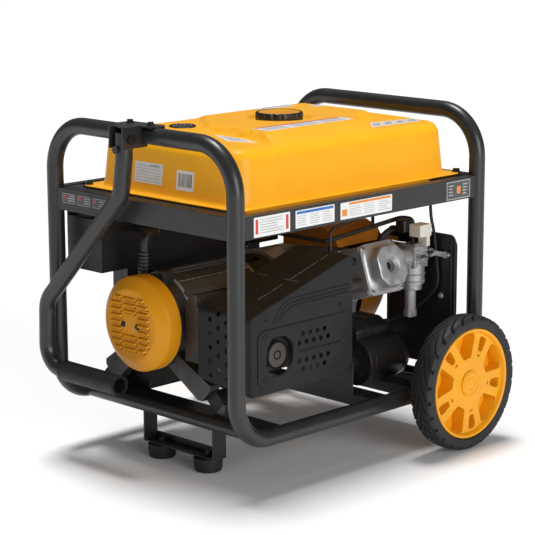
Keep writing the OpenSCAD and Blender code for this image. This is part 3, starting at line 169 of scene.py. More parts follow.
M = {
    "tank": surface("tank_paint", (0.95, 0.43, 0.012), (0.98, 0.462, 0.017), 0.40, grain=260,
                    grain_h=0.00006, grain_s=0.12, coat=0.06, coat_rough=0.2, rough_var=0.05,
                    spec=0.22, wave=(9, 0.06, 0.002)),
    # the moulding's own yellow, darkened below the tank's to paint in the shade the alternator cover
    # lies in; the hoods and the fuel cap plug share it
    "yellow": surface("moulded_yellow_painted_shade", (0.70, 0.28, 0.006), (0.76, 0.315, 0.008), 0.42, grain=700,
                      grain_h=0.00005, grain_s=0.25, spec=0.25, rough_var=0.05),
    # blower housing and cylinder shroud: their yellow darkened to a brown as painted shade for where
    # they lie under the tank; the specks are real dust
    "shroud": surface("shroud_yellow_painted_shade", (0.24, 0.085, 0.004), (0.30, 0.11, 0.006), 0.42, grain=600,
                      grain_h=0.00005, grain_s=0.3, spec=0.3, dust=(0.16, 0.07, 0.02)),
    "rim": surface("rim_yellow", (0.80, 0.34, 0.005), (0.85, 0.37, 0.008), 0.36, grain=500,
                   grain_s=0.12, coat=0.08, coat_rough=0.15, rough_var=0.04, spec=0.25),
    "frame": surface("frame_paint", (0.0135, 0.0138, 0.0145), (0.019, 0.0193, 0.020), 0.36,
                     grain=1300, grain_h=0.00005, grain_s=0.35, rough_var=0.05, coat=0.08,
                     dust=(0.035, 0.035, 0.036), dust_amount=0.15),
    "sheet": surface("band_paint", (0.0135, 0.0135, 0.014), (0.019, 0.019, 0.0195), 0.42,
                     grain=1500, grain_h=0.00005, grain_s=0.3, dust=(0.03, 0.03, 0.03)),
    "shield": surface("shield_paint", (0.021, 0.021, 0.0215), (0.027, 0.027, 0.0275), 0.38,
                      grain=1100, grain_h=0.00005, grain_s=0.35, dust=(0.026, 0.026, 0.026),
                      spec=0.10),
    "tyre": surface("tyre_rubber", (0.010, 0.010, 0.0103), (0.015, 0.015, 0.0152), 0.58, grain=1600,
                    grain_h=0.00006, dust=(0.035, 0.033, 0.031), dust_amount=0.2, spec=0.4),
    "rubber": surface("black_rubber", (0.009, 0.009, 0.009), (0.014, 0.014, 0.014), 0.6, grain=1400,
                      grain_h=0.00006, spec=0.4, dust=(0.03, 0.029, 0.028)),
    "plastic": surface("black_plastic", (0.008, 0.008, 0.0084), (0.013, 0.013, 0.0135), 0.38,
                       grain=1500, grain_h=0.00007, dust=(0.024, 0.024, 0.024)),
    "panel": surface("panel_plastic", (0.010, 0.010, 0.0105), (0.015, 0.015, 0.0155), 0.44,
                     grain=1900, grain_h=0.00009, grain_s=0.5, dust=(0.028, 0.028, 0.028)),
    "castdark": surface("cast_black", (0.030, 0.030, 0.031), (0.055, 0.055, 0.057), 0.42, metal=0.5,
                        grain=420, grain_h=0.0002, grain_s=0.5, blotch=30, dust=(0.09, 0.085, 0.08),
                        dust_amount=0.4),
    "cast": surface("cast_aluminium", (0.36, 0.36, 0.37), (0.48, 0.48, 0.49), 0.38, metal=0.55,
                    grain=420, grain_h=0.00025, grain_s=0.5, blotch=30, dust=(0.22, 0.20, 0.18),
                    dust_amount=0.5),
    "bright": surface("plated_steel", (0.50, 0.50, 0.52), (0.66, 0.66, 0.68), 0.28, metal=1.0,
                      grain_h=0.00003, grain_s=0.3, stretch=(1, 14, 1)),
    "machined": surface("machined_steel", (0.20, 0.20, 0.21), (0.32, 0.32, 0.33), 0.36, metal=1.0,
                        grain=700, grain_s=0.35, stretch=(18, 1, 1)),
    "laminate": surface("stator_stack", (0.085, 0.087, 0.09), (0.14, 0.142, 0.146), 0.45, metal=0.7,
                        grain=420, grain_h=0.0003, grain_s=0.7, stretch=(6, 0.2, 0.2)),
    "exhaust": surface("exhaust_steel", (0.045, 0.042, 0.040), (0.10, 0.088, 0.078), 0.55,
                       metal=0.6, grain=500, grain_h=0.00012, grain_s=0.5, dust=(0.16, 0.09, 0.05),
                       dust_amount=0.45),
    "blackzinc": surface("black_zinc", (0.028, 0.028, 0.030), (0.045, 0.045, 0.048), 0.33,
                         metal=0.8, grain_s=0.3),
    "brass": surface("brass_tap", (0.46, 0.33, 0.13), (0.60, 0.45, 0.20), 0.35, metal=1.0,
                     grain=500, grain_h=0.00008),
    "cream": surface("relay_cream", (0.60, 0.57, 0.49), (0.70, 0.67, 0.58), 0.5, grain=1100,
                     grain_h=0.00006, dust=(0.40, 0.38, 0.33)),
    "green": surface("button_green", (0.012, 0.16, 0.04), (0.02, 0.22, 0.06), 0.3, grain_s=0.3,
                     coat=0.3),
    "red": surface("rocker_red", (0.36, 0.012, 0.01), (0.46, 0.02, 0.016), 0.3, grain_s=0.3,
                   coat=0.3),
    "white": printed("sticker_white", (0.74, 0.74, 0.73), (0.82, 0.82, 0.81), 0.32),
    "grey": printed("sticker_grey", (0.40, 0.40, 0.41), (0.47, 0.47, 0.48), 0.36),
    "foil": surface("sticker_silver", (0.70, 0.69, 0.68), (0.80, 0.79, 0.78), 0.34, metal=0.1,
                    grain=700, grain_h=0.00002, grain_s=0.2),
    "ink": printed("sticker_ink", (0.05, 0.05, 0.05), (0.08, 0.08, 0.08), 0.4),
    "inkred": printed("sticker_red", (0.55, 0.03, 0.02), (0.62, 0.045, 0.03), 0.36),
    "inkblue": printed("sticker_blue", (0.025, 0.14, 0.46), (0.035, 0.17, 0.52), 0.36),
    "inkorange": printed("sticker_orange", (0.72, 0.22, 0.03), (0.80, 0.26, 0.045), 0.36),
    # lighter grey for the bars on the heat shield's top: painted highlight standing for the glints
    # along its slots
    "edge": surface("slot_painted_highlight", (0.10, 0.10, 0.10), (0.16, 0.16, 0.155), 0.3, metal=0.5,
                    grain_h=0.00003, grain_s=0.3),
    # near-black with little sheen: painted shade for the shadowed opening of the muffler outlet,
    # used only there
    "dark": surface("outlet_painted_shade", (0.005, 0.005, 0.005), (0.009, 0.009, 0.009), 0.7, grain_s=0.3,
                    spec=0.1),
}


# ---------------------------------------------------------------- mesh helpers
def make(name, verts, faces, mat, body, replaces, angle):
    """A mesh object in the frame's space, smooth but for edges sharper than the angle."""
    me = bpy.data.meshes.new(name)
    me.from_pydata([tuple(v) for v in verts], [], faces)
    me.validate()
    return finish_mesh(name, me, [mat], body, replaces, angle)


def finish_mesh(name, me, mats, body="frame", replaces=(), angle=35):
    for k in mats:
        me.materials.append(M[k])
    for poly in me.polygons:
        poly.use_smooth = True
    me.set_sharp_from_angle(angle=math.radians(angle))
    o = bpy.data.objects.new(name, me)
    bpy.context.scene.collection.objects.link(o)
    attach(o, body)
    if replaces:
        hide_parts(*replaces)
    return o


class Build:
    """Collects several shells into one mesh, each with its own material."""

    def __init__(self):
        self.bm = bmesh.new()
        self.mats = []

    def shell(self, verts, faces, mat):
        if mat not in self.mats:
            self.mats.append(mat)
        vs = [self.bm.verts.new(v) for v in verts]
        for f in faces:
            face = self.bm.faces.new([vs[i] for i in f])
            face.material_index = self.mats.index(mat)

    def done(self, name, body="frame", replaces=(), angle=35):
        bmesh.ops.recalc_face_normals(self.bm, faces=self.bm.faces)
        me = bpy.data.meshes.new(name)
        self.bm.to_mesh(me)
        self.bm.free()
        finish_mesh(name, me, self.mats, body, replaces, angle)


def wrapped(count, n):
    """Quads of a closed profile of n points carried round in count steps."""
    faces = []
    for i in range(count):
        j = (i + 1) % count
        for k in range(n):
            q = (k + 1) % n
            faces.append((i * n + k, j * n + k, j * n + q, i * n + q))
    return faces


def stacked(rows, n):
    """Quads between rows of n points, where each row is a closed ring."""
    faces = []
    for i in range(rows - 1):
        for k in range(n):
            q = (k + 1) % n
            faces.append((i * n + k, i * n + q, (i + 1) * n + q, (i + 1) * n + k))
    return faces


def end_faces(rows, n):
    """The two faces that close a stack of rings."""
    return [tuple(range(n))[::-1], tuple((rows - 1) * n + k for k in range(n))]


def lathe_map(profile, place, count, u0=0.0, v0=0.0):
    """Closed profile [(radius, height), ...] turned about u0, v0 in a place's own axes."""
    verts = []
    for i in range(count):
        a = TAU * i / count
        verts += [place(u0 + r * math.cos(a), v0 + r * math.sin(a), h) for r, h in profile]
    return verts, wrapped(count, len(profile))


def lathe_points(profile, centre, axis, count, out=1.0):
    """Closed profile [(radius, along), ...] turned about an axis through centre."""
    x, y, z = centre
    place = {"x": lambda u, v, w: P(x + out * w, y + u, z + v),
             "y": lambda u, v, w: P(x + u, y + out * w, z + v),
             "z": lambda u, v, w: P(x + u, y + v, z + out * w)}[axis]
    return lathe_map(profile, place, count)


def rounded(points, radius, steps=4):
    """Polygon with its corners rounded; radius may be one number or one per corner."""
    out = []
    n = len(points)
    for i, p in enumerate(points):
        r = radius[i] if isinstance(radius, (list, tuple)) else radius
        a, b = Vector(points[i - 1]), Vector(points[(i + 1) % n])
        p = Vector(p)
        u, v = (a - p).normalized(), (b - p).normalized()
        half = u.angle(v) / 2
        cut = min(r / math.tan(half), (a - p).length * 0.45, (b - p).length * 0.45)
        if r <= 0 or half > math.radians(88):
            out.append(tuple(p))
            continue
        p0, p1 = p + u * cut, p + v * cut
        for k in range(steps + 1):
            t = k / steps
            q = p0 * (1 - t) ** 2 + p * 2 * t * (1 - t) + p1 * t * t
            out.append(tuple(q))
    return out


def ring(cx, cy, r, n=24, start=0.0):
    return [(cx + r * math.cos(start + TAU * i / n), cy + r * math.sin(start + TAU * i / n))
            for i in range(n)]


def to_plane(plane, at, u, v, w):
    """Plate coordinates to the design frame: w is height above the plane's own level."""
    if plane == "-y":
        return P(u, at - w, v)
    if plane == "+y":
        return P(u, at + w, v)
    if plane == "-x":
        return P(at - w, u, v)
    if plane == "+x":
        return P(at + w, u, v)
    return P(u, v, at + w)


def plate(build, outer, holes, place, thick, bevel, mat, segs=2):
    """Flat plate with holes and rounded top edges, put in place by place(u, v, height)."""
    bm = bmesh.new()
    loops = []
    for outline in [outer, *holes]:
        vs = [bm.verts.new((x, y, 0)) for x, y in outline]
        for i in range(len(vs)):
            bm.edges.new((vs[i], vs[(i + 1) % len(vs)]))
        loops.append(vs)
    bmesh.ops.triangle_fill(bm, use_beauty=True, use_dissolve=False, edges=bm.edges[:])
    bmesh.ops.dissolve_limit(bm, angle_limit=0.01, verts=bm.verts[:], edges=[
        e for e in bm.edges if len(e.link_faces) == 2])
    for f in bm.faces:
        if f.normal.z < 0:
            f.normal_flip()
    top = bm.faces[:]
    made = bmesh.ops.extrude_face_region(bm, geom=top)
    up = [g for g in made["geom"] if isinstance(g, bmesh.types.BMVert)]
    for v in up:
        v.co.z += thick
    bm.normal_update()
    upset = set(up)
    edges = [e for e in bm.edges if e.verts[0] in upset and e.verts[1] in upset
             and len(e.link_faces) == 2
             and abs(e.link_faces[0].normal.z - e.link_faces[1].normal.z) > 0.5]
    if bevel > 0:
        bmesh.ops.bevel(bm, geom=edges, offset=bevel, segments=segs, profile=0.5,
                        affect="EDGES", clamp_overlap=True)
    bm.verts.ensure_lookup_table()
    bm.verts.index_update()
    verts = [place(v.co.x, v.co.y, v.co.z) for v in bm.verts]
    faces = [[v.index for v in f.verts] for f in bm.faces]
    bm.free()
    build.shell(verts, faces, mat)


def on_plane(plane, at):
    return lambda u, v, w: to_plane(plane, at, u, v, w)


def slab(build, u0, u1, v0, v1, place, thick, mat, radius=1.0, bevel=0.2):
    outline = rounded([(u0, v0), (u1, v0), (u1, v1), (u0, v1)], radius, 3)
    plate(build, outline, [], place, thick, bevel, mat, 1)


def tube_points(path, r, sides=12):
    """Round bar along a list of points, by parallel transport."""
    pts = [Vector(p) for p in path]
    verts = []
    t0 = (pts[1] - pts[0]).normalized()
    ref = Vector((0, 0, 1)) if abs(t0.z) < 0.9 else Vector((1, 0, 0))
    u = t0.cross(ref).normalized()
    for i, p in enumerate(pts):
        t = (pts[min(i + 1, len(pts) - 1)] - pts[max(i - 1, 0)]).normalized()
        u = (u - t * u.dot(t)).normalized()
        w = t.cross(u)
        for k in range(sides):
            a = TAU * k / sides
            verts.append(p + (u * math.cos(a) + w * math.sin(a)) * r)
    return verts, stacked(len(pts), sides) + end_faces(len(pts), sides)


def rounded_path(points, r, steps=4):
    """Open polyline with its inner corners rounded."""
    out = [points[0]]
    for i in range(1, len(points) - 1):
        a, p, c = Vector(points[i - 1]), Vector(points[i]), Vector(points[i + 1])
        u, v = (a - p).normalized(), (c - p).normalized()
        cut = min(r, (a - p).length * 0.45, (c - p).length * 0.45)
        p0, p1 = p + u * cut, p + v * cut
        for k in range(steps + 1):
            t = k / steps
            out.append(tuple(p0 * (1 - t) ** 2 + p * 2 * t * (1 - t) + p1 * t * t))
    out.append(points[-1])
    return out


def inset_outline(outline, inset):
    """Outline moved in by a distance, corner by corner (outline runs anticlockwise)."""
    out = []
    n = len(outline)
    for i in range(n):
        a, p, b = Vector(outline[i - 1]), Vector(outline[i]), Vector(outline[(i + 1) % n])
        d1, d2 = (p - a).normalized(), (b - p).normalized()
        n1, n2 = Vector((-d1.y, d1.x)), Vector((-d2.y, d2.x))
        m = (n1 + n2).normalized()
        out.append(tuple(p + m * (inset / max(m.dot(n1), 0.4))))
    return out


def loft(build, outline, levels, place, mat):
    """Closed stack of one outline at several heights, each moved in by its own amount."""
    n, rows = len(outline), len(levels)
    verts = []
    for inset, h in levels:
        pts = inset_outline(outline, inset) if abs(inset) > 1e-6 else outline
        verts += [place(x, y, h) for x, y in pts]
    build.shell(verts, stacked(rows, n) + end_faces(rows, n), mat)


def screw(build, at, axis, out, r):
    """Pan head on its washer, with a sunk centre."""
    prof = [(0, -0.6), (r * 1.25, -0.6), (r * 1.25, 0.9), (r * 1.1, 1.2), (r * 0.8, 1.2),
            (r * 0.8, 2.6), (r * 0.66, 3.8), (r * 0.4, 4.5), (r * 0.26, 4.6), (r * 0.16, 2.8),
            (0, 2.6)]
    build.shell(*lathe_points(prof, at, axis, 24, out), "blackzinc")


def hex_bolt(build, place, u, v, w, r, mat="bright", height=None):
    """Flanged hexagon head standing on w."""
    h = height or r * 0.75
    flange = [(0, w - 0.5), (r * 1.45, w - 0.5), (r * 1.45, w + r * 0.18), (r * 1.1, w + r * 0.3),
              (0, w + r * 0.3)]
    build.shell(*lathe_map(flange, place, 24, u, v), mat)
    loft(build, ring(u, v, r, 6, 0.3), [(0, w), (0, w + h * 0.85), (r * 0.12, w + h)], place, mat)


def raw(name, verts, faces):
    """A plain object for a cut, with its normals made to point out."""
    me = bpy.data.meshes.new(name)
    me.from_pydata([tuple(v) for v in verts], [], faces)
    bm = bmesh.new()
    bm.from_mesh(me)
    bmesh.ops.recalc_face_normals(bm, faces=bm.faces)
    bm.to_mesh(me)
    bm.free()
    o = bpy.data.objects.new(name, me)
    bpy.context.scene.collection.objects.link(o)
    return o


def evaluated(o):
    """The object's mesh with its modifiers applied, and the object itself removed."""
    bpy.context.view_layer.update()
    dg = bpy.context.evaluated_depsgraph_get()
    me = bpy.data.meshes.new_from_object(o.evaluated_get(dg))
    bpy.data.objects.remove(o)
    return me


def along_x(y, z, x):
    return P(x, y, z)


def along_y(x, z, y):
    return P(x, y, z)


class Cutter:
    """Prisms gathered into one mesh, then cut out of a body in one step."""

    def __init__(self):
        self.verts = []
        self.faces = []

    def add(self, outline, place, low, high):
        base, n = len(self.verts), len(outline)
        self.verts += [place(u, v, w) for w in (low, high) for u, v in outline]
        for face in [f[::-1] for f in end_faces(2, n)] + stacked(2, n):
            self.faces.append(tuple(base + k for k in face))

    def carve(self, name, verts, faces, soft=None):
        """Mesh of a body less the prisms; soft is the width, steps and angle of a bevel."""
        body, cut = raw(name + "_raw", verts, faces), raw(name + "_cutter", self.verts, self.faces)
        m = body.modifiers.new("cut", "BOOLEAN")
        m.operation, m.solver, m.object = "DIFFERENCE", "EXACT", cut
        if soft:
            bev = body.modifiers.new("soft", "BEVEL")
            bev.limit_method, bev.use_clamp_overlap = "ANGLE", True
            bev.width, bev.segments, bev.angle_limit = soft[0], soft[1], math.radians(soft[2])
        me = evaluated(body)
        bpy.data.objects.remove(cut)
        me.name = name
        return me


# ---------------------------------------------------------------- fuel tank
TANK_X, TANK_Y = (-285, 296), (-208, 182)
FLANGE_X, FLANGE_Y, FLANGE_Z, FLANGE_T = (-305, 310), (-226, 202), 519.5, 2.0
TANK_CORNER, FLANGE_CORNER, FOOT_CORNER, FOOT_SPREAD, RIM_COUNT = 44, 24, 48, 6, 480
WALL_RUN, WALL_TOP = 9, 604
BEND_RUN, BEND_RISE = 15, 15.5
CAP_X, CAP_Y = 27, 0
TOP, SHELF, SHELF_RISE, DISH_FLOOR, DISH_R = 637.0, 622.0, 8, 630.0, 66
# The top falls by SLOPE_RISE to EDGE_Z over these runs, from these places across the tank
EDGE_Z, SLOPE_RISE, NEAR_Y, NEAR_RUN, FAR_Y, FAR_RUN = 620, 17, -192, 56, 166, 46
END_X, END_SLOPE = (-266, 276), 0.25
PAD = [(-152, -190), (-152, -146), (-143, 16), (-54, 125), (-40, 200), (262, 200), (262, 20),
       (206, -66), (150, -90), (98, -135), (98, -190)]


def box_distance(x, y, bx, by, r):
    """Distance to the outline of a rounded rectangle, positive inside."""
    cx, cy = (bx[0] + bx[1]) / 2, (by[0] + by[1]) / 2
    qx = abs(x - cx) - ((bx[1] - bx[0]) / 2 - r)
    qy = abs(y - cy) - ((by[1] - by[0]) / 2 - r)
    return r - math.hypot(max(qx, 0), max(qy, 0)) - min(max(qx, qy), 0)


def poly_distance(x, y, poly):
    """Distance to a polygon's outline, positive inside."""
    best, inside = 1e9, False
    n = len(poly)
    for i in range(n):
        (x0, y0), (x1, y1) = poly[i], poly[(i + 1) % n]
        dx, dy = x1 - x0, y1 - y0
        t = clamp(((x - x0) * dx + (y - y0) * dy) / (dx * dx + dy * dy))
        best = min(best, math.hypot(x - x0 - t * dx, y - y0 - t * dy))
        if (y0 > y) != (y1 > y) and x < x0 + (y - y0) * dx / dy:
            inside = not inside
    return best if inside else -best


def soft_min(a, b, k):
    """The lower of two heights, rounded over where they are within k of each other."""
    h = clamp(0.5 + 0.5 * (b - a) / k)
    return lerp(b, a, h) - k * h * (1 - h)


def tank_wall(d):
    """Height of the pressed side at a distance d in from its foot."""
    foot = FLANGE_Z + FLANGE_T
    if d < WALL_RUN:
        return foot + (WALL_TOP - foot) * (d / WALL_RUN) ** 0.96
    if d < WALL_RUN + BEND_RUN:
        t = (d - WALL_RUN) / BEND_RUN
        return WALL_TOP + BEND_RISE * (1 - (1 - t) ** 2.2)
    return WALL_TOP + BEND_RISE + (d - WALL_RUN - BEND_RUN) * 1.5


def tank_top(x, y):
    """Height of the top: a lower shelf, the raised pad, and slopes down to the four sides."""
    shelf = SHELF + SHELF_RISE * clamp((y + 150) / 200)
    step = clamp((poly_distance(x, y, PAD) + 9) / 9)
    pad = lerp(shelf, TOP, step)
    near = EDGE_Z + (y - NEAR_Y) * SLOPE_RISE / NEAR_RUN
    far = EDGE_Z + (FAR_Y - y) * SLOPE_RISE / FAR_RUN
    ends = EDGE_Z + min(x - END_X[0], END_X[1] - x) * END_SLOPE
    z = soft_min(soft_min(pad, near, 2.0), far, 2.0)
    return soft_min(z, ends + 2, 2.0)


def recess(x, y, z):
    """The round dish that the filler cap sits in."""
    r = math.hypot(x - CAP_X, y - CAP_Y)
    if r > DISH_R:
        return z
    return lerp(DISH_FLOOR, z, smooth((r - DISH_R + 12) / 12))


def tank_height(x, y):
    d = box_distance(x, y, TANK_X, TANK_Y, TANK_CORNER)
    return recess(x, y, soft_min(tank_wall(max(d, 0)), tank_top(x, y), 2.5))


def outline_points(bx, by, r, count):
    """Points round a rounded rectangle, closer together on its corners."""
    pts = []
    corners = [(bx[1] - r, by[1] - r, 0), (bx[0] + r, by[1] - r, 90),
               (bx[0] + r, by[0] + r, 180), (bx[1] - r, by[0] + r, 270)]
    side = count // 4
    arc = side // 3
    for i, (cx, cy, a0) in enumerate(corners):
        for k in range(arc + 1):
            a = math.radians(a0 + 90 * k / arc)
            pts.append((cx + r * math.cos(a), cy + r * math.sin(a)))
        nx, ny, na = corners[(i + 1) % 4]
        x0, y0 = pts[-1]
        x1, y1 = nx + r * math.cos(math.radians(na)), ny + r * math.sin(math.radians(na))
        run = side - arc
        for k in range(1, run):
            pts.append((lerp(x0, x1, k / run), lerp(y0, y1, k / run)))
    return pts


def tank_ring(rim, d):
    """Points on the lines from the cap to the rim that lie a distance d inside the outline."""
    points = []
    for x1, y1 in rim:
        lo, hi = 0.0, 1.0
        for _ in range(22):
            mid = (lo + hi) / 2
            x, y = lerp(CAP_X, x1, mid), lerp(CAP_Y, y1, mid)
            if box_distance(x, y, TANK_X, TANK_Y, TANK_CORNER) > d:
                lo = mid
            else:
                hi = mid
        points.append((lerp(CAP_X, x1, lo), lerp(CAP_Y, y1, lo)))
    return points


def round_cap(points, radius):
    """Points drawn in to the radius that a function gives for each one's own radius."""
    moved = []
    for x, y in points:
        r = math.hypot(x - CAP_X, y - CAP_Y)
        q = radius(r) / r
        moved.append((CAP_X + (x - CAP_X) * q, CAP_Y + (y - CAP_Y) * q))
    return moved


def flange_rows(rim):
    """Rows from under the flange, round its edge and up the fillet to the foot of the wall."""
    low, high = FLANGE_Z, FLANGE_Z + FLANGE_T
    edge = outline_points(FLANGE_X, FLANGE_Y, FLANGE_CORNER, RIM_COUNT)
    foot = outline_points((TANK_X[0] - FOOT_SPREAD, TANK_X[1] + FOOT_SPREAD),
                          (TANK_Y[0] - FOOT_SPREAD, TANK_Y[1] + FOOT_SPREAD), FOOT_CORNER, RIM_COUNT)
    verts = [P(lerp(CAP_X, x, 0.5), lerp(CAP_Y, y, 0.5), low) for x, y in edge]
    verts += [P(x, y, low) for x, y in edge]
    verts += [P(x, y, high - 0.5) for x, y in edge]
    verts += [P(lerp(x, CAP_X, 0.002), lerp(y, CAP_Y, 0.002), high) for x, y in edge]
    for share, rise in ((0, 0), (0.55, 1.2), (0.85, 3.6)):
        verts += [P(lerp(x, u, share), lerp(y, v, share), high + rise)
                  for (x, y), (u, v) in zip(foot, rim)]
    return verts


def build_tank():
    rim = outline_points(TANK_X, TANK_Y, TANK_CORNER, RIM_COUNT)
    steps = [0, 0.4, 1.5, 3.5, 6, 8, 9, 9.4, 9.9, 10.6, 11.6, 12.9, 14.5, 16.5, 19, 22, 25.5,
             29.5, 34, 39, 44.5, 50.5]
    rings = [tank_ring(rim, d) for d in steps]
    last, inner = rings[-1], 34
    for k in range(1, inner + 1):
        rings.append(round_cap(last, lambda r: lerp(r, DISH_R, k / inner)))
    for dish in (63, 60.5, 58, 56, 54, 51, 44, 36, 27.6):
        rings.append(round_cap(last, lambda r: dish))
    verts = flange_rows(rim)
    fillet = FLANGE_Z + FLANGE_T + 6.5
    for k, row in enumerate(rings):
        for x, y in row:
            z = tank_height(x, y)
            if k == 0:
                z = fillet
            elif k < 3:
                z = max(z, fillet + 1.5)
            verts.append(P(x, y, z))
    verts += [P(x, y, WALL_TOP) for x, y in round_cap(rings[-1], lambda r: 26.8)]
    n = len(rim)
    rows = len(verts) // n
    make("tank_shell", verts, stacked(rows, n) + end_faces(rows, n), "tank", "frame",
         ["tank_upper"], 40)


build_tank()


# ---------------------------------------------------------------- stickers
def sticker_on_tank(build, corners, mat, lift=0.35, nu=16, nv=6):
    """Patch laid on the tank's top between four plan corners, following its surface."""
    a, b, c, d = [Vector(p) for p in corners]
    verts, faces = [], []
    for layer in (lift, -0.6):
        for j in range(nv + 1):
            for i in range(nu + 1):
                p = a.lerp(b, i / nu).lerp(d.lerp(c, i / nu), j / nv)
                verts.append(P(p.x, p.y, tank_height(p.x, p.y) + layer))
    w = nu + 1
    base = w * (nv + 1)
    for j in range(nv):
        for i in range(nu):
            q = (j * w + i, j * w + i + 1, (j + 1) * w + i + 1, (j + 1) * w + i)
            faces.append(q)
            faces.append(tuple(base + k for k in q[::-1]))
    border = (list(range(w)) + [j * w + nu for j in range(1, nv + 1)]
              + [nv * w + i for i in range(nu - 1, -1, -1)] + [j * w for j in range(nv - 1, 0, -1)])
    for k, p in enumerate(border):
        q = border[(k + 1) % len(border)]
        faces.append((q, p, base + p, base + q))
    build.shell(verts, faces, mat)


def sticker_blocks(build, corners, cells, mat, lift=0.55):
    """Bars inside a sticker: cells are (u0, u1, v0, v1) as shares of its width and height."""
    a, b, c, d = [Vector(p) for p in corners]
    for u0, u1, v0, v1 in cells:
        quad = []
        for s, t in ((u0, v0), (u1, v0), (u1, v1), (u0, v1)):
            quad.append(tuple(a.lerp(b, s).lerp(d.lerp(c, s), t)))
        sticker_on_tank(build, quad, mat, lift, max(2, int(30 * (u1 - u0))),
                        max(1, int(8 * (v1 - v0))))


def tank_stickers():
    b = Build()
    # a long one in front of the cap, one in each front pocket, two behind the cap
    front = [(-135, -130), (101, -126), (101, -88), (-132, -85)]
    sticker_on_tank(b, front, "white", nu=30, nv=8)
    sticker_blocks(b, front, [(0.02, 0.98, 0.80, 0.95)], "inkred")
    rows = [0.12, 0.27, 0.42, 0.57]
    sticker_blocks(b, front, [(x, x + w, v, v + 0.07) for v in rows
                              for x, w in ((0.04, 0.24), (0.35, 0.27), (0.68, 0.26))], "grey")
    left = [(-212, -104), (-181, -150), (-171, -101), (-184, -39)]
    sticker_on_tank(b, left, "white", nu=8, nv=12)
    sticker_blocks(b, left, [(0.2, 0.8, v, v + 0.07) for v in (0.2, 0.35, 0.5, 0.65, 0.8)],
                   "grey")
    right = [(118, -159), (251, -167), (272, -134), (155, -119)]
    sticker_blocks(b, right, [(0.25 * i, 0.25 * i + 0.23, 0, 1) for i in range(4)], "white",
                   0.35)
    sticker_blocks(b, right, [(0.25 * i + 0.04, 0.25 * i + 0.19, 0.2, 0.8) for i in range(4)],
                   "grey")
    for far in ([(77, 93), (175, 98), (173, 125), (75, 120)],
                [(189, 50), (257, 54), (255, 80), (187, 76)]):
        sticker_on_tank(b, far, "white", nu=14, nv=5)
        sticker_blocks(b, far, [(0.06, 0.94, v, v + 0.1) for v in (0.2, 0.45, 0.7)], "grey")
    b.done("tank_top_stickers", "frame")


tank_stickers()


def wall_sticker(build, u0, u1, v0, v1, place, mat, level=0.0, thick=0.25, radius=1.6):
    raised = (lambda u, v, w: place(u, v, w + level))
    slab(build, u0, u1, v0, v1, raised, thick, mat, radius, 0.08)


def rules(build, u0, u1, v0, v1, rows, place, mat, seed, fill=0.85, level=0.25):
    """Plain bars in rows: a generic stand-in for printed lines."""
    rnd = random.Random(seed)
    pitch = (v1 - v0) / rows
    for r in range(rows):
        v = v0 + (r + 0.5) * pitch
        end = lerp(u0, u1, rnd.uniform(fill, 1.0))
        wall_sticker(build, u0, end, v - pitch * 0.17, v + pitch * 0.17, place, mat, level, 0.1,
                     0.3)


def tank_end_place(u, v, w):
    """On the tank's sloping end face: u along Y, v up."""
    lo, hi = 0.0, 30.0
    for _ in range(24):
        mid = (lo + hi) / 2
        if tank_wall(mid) < v:
            lo = mid
        else:
            hi = mid
    return P(TANK_X[0] + lo - w, u, v)


def tank_end_labels():
    b = Build()
    end = tank_end_place
    wall_sticker(b, -5, 71, 540, 578, end, "foil", 0.1)
    for k in range(6):
        wall_sticker(b, 0, 66, 544 + k * 5.4, 545.2 + k * 5.4, end, "grey", 0.35, 0.1, 0.3)
    wall_sticker(b, 4, 30, 571.5, 575.5, end, "grey", 0.35, 0.1, 0.3)
    wall_sticker(b, -89, -43, 537, 573, end, "white", 0.1)
    x = -84.0
    rnd = random.Random(5)
    while x < -49:
        w = rnd.choice([0.9, 1.3, 2.0])
        wall_sticker(b, x, x + w, 544, 568, end, "ink", 0.35, 0.1, 0.1)
        x += w + rnd.choice([0.9, 1.3, 1.8])
    b.done("tank_end_labels", "frame")


def band_side_labels():
    b = Build()
    side = on_plane("-y", -254.1)
    wall_sticker(b, -294, -204, 477.5, 513, side, "white")
    rules(b, -279, -219, 482, 510, 6, side, "grey", 2, 0.7)
    for u in (-290, -214.5):
        wall_sticker(b, u, u + 6.5, 483, 509, side, "inkred", 0.25, 0.1, 0.6)
    wall_sticker(b, -190, -89, 480, 512, side, "white")
    wall_sticker(b, -187, -92, 505, 510, side, "inkblue", 0.25, 0.1, 0.5)
    for k in range(3):
        rules(b, -186 + k * 33, -160 + k * 33, 483, 503, 5, side, "grey", 10 + k, 0.75)
    wall_sticker(b, -73, 68, 480, 511, side, "white")
    wall_sticker(b, -50, 64, 505, 509.5, side, "inkorange", 0.25, 0.1, 0.5)
    wall_sticker(b, -69, -55, 486, 498, side, "inkorange", 0.25, 0.1, 1.0)
    for k in range(3):
        rules(b, -49 + k * 39, -15 + k * 39, 483, 503, 5, side, "grey", 20 + k, 0.75)
    wall_sticker(b, 227, 297, 478, 513, side, "grey")
    wall_sticker(b, 228.6, 295.4, 479.6, 511.4, side, "ink", 0.25, 0.1, 1.4)
    for k in range(2):
        rules(b, 233 + k * 42, 250 + k * 42, 484, 508, 4, side, "grey", 30 + k, 0.6, 0.35)
    wall_sticker(b, 257, 268, 488, 503, side, "inkorange", 0.35, 0.1, 3.0)
    b.done("band_side_labels", "frame")


def band_end_labels():
    b = Build()
    head = on_plane("-x", -338.1)
    for k in range(3):
        u = 177 - 44 * k
        wall_sticker(b, u, u + 37, 490, 508, head, "grey")
        wall_sticker(b, u + 0.8, u + 36.2, 490.8, 507.2, head, "ink", 0.25, 0.1, 1.2)
        wall_sticker(b, u + 27, u + 33, 499, 505, head, "inkred", 0.35, 0.1, 1.0)
        rules(b, u + 3, u + 24, 493, 506, 3, head, "grey", 40 + k, 0.6, 0.35)
    b.done("band_end_labels", "frame")


tank_end_labels()
band_side_labels()
band_end_labels()


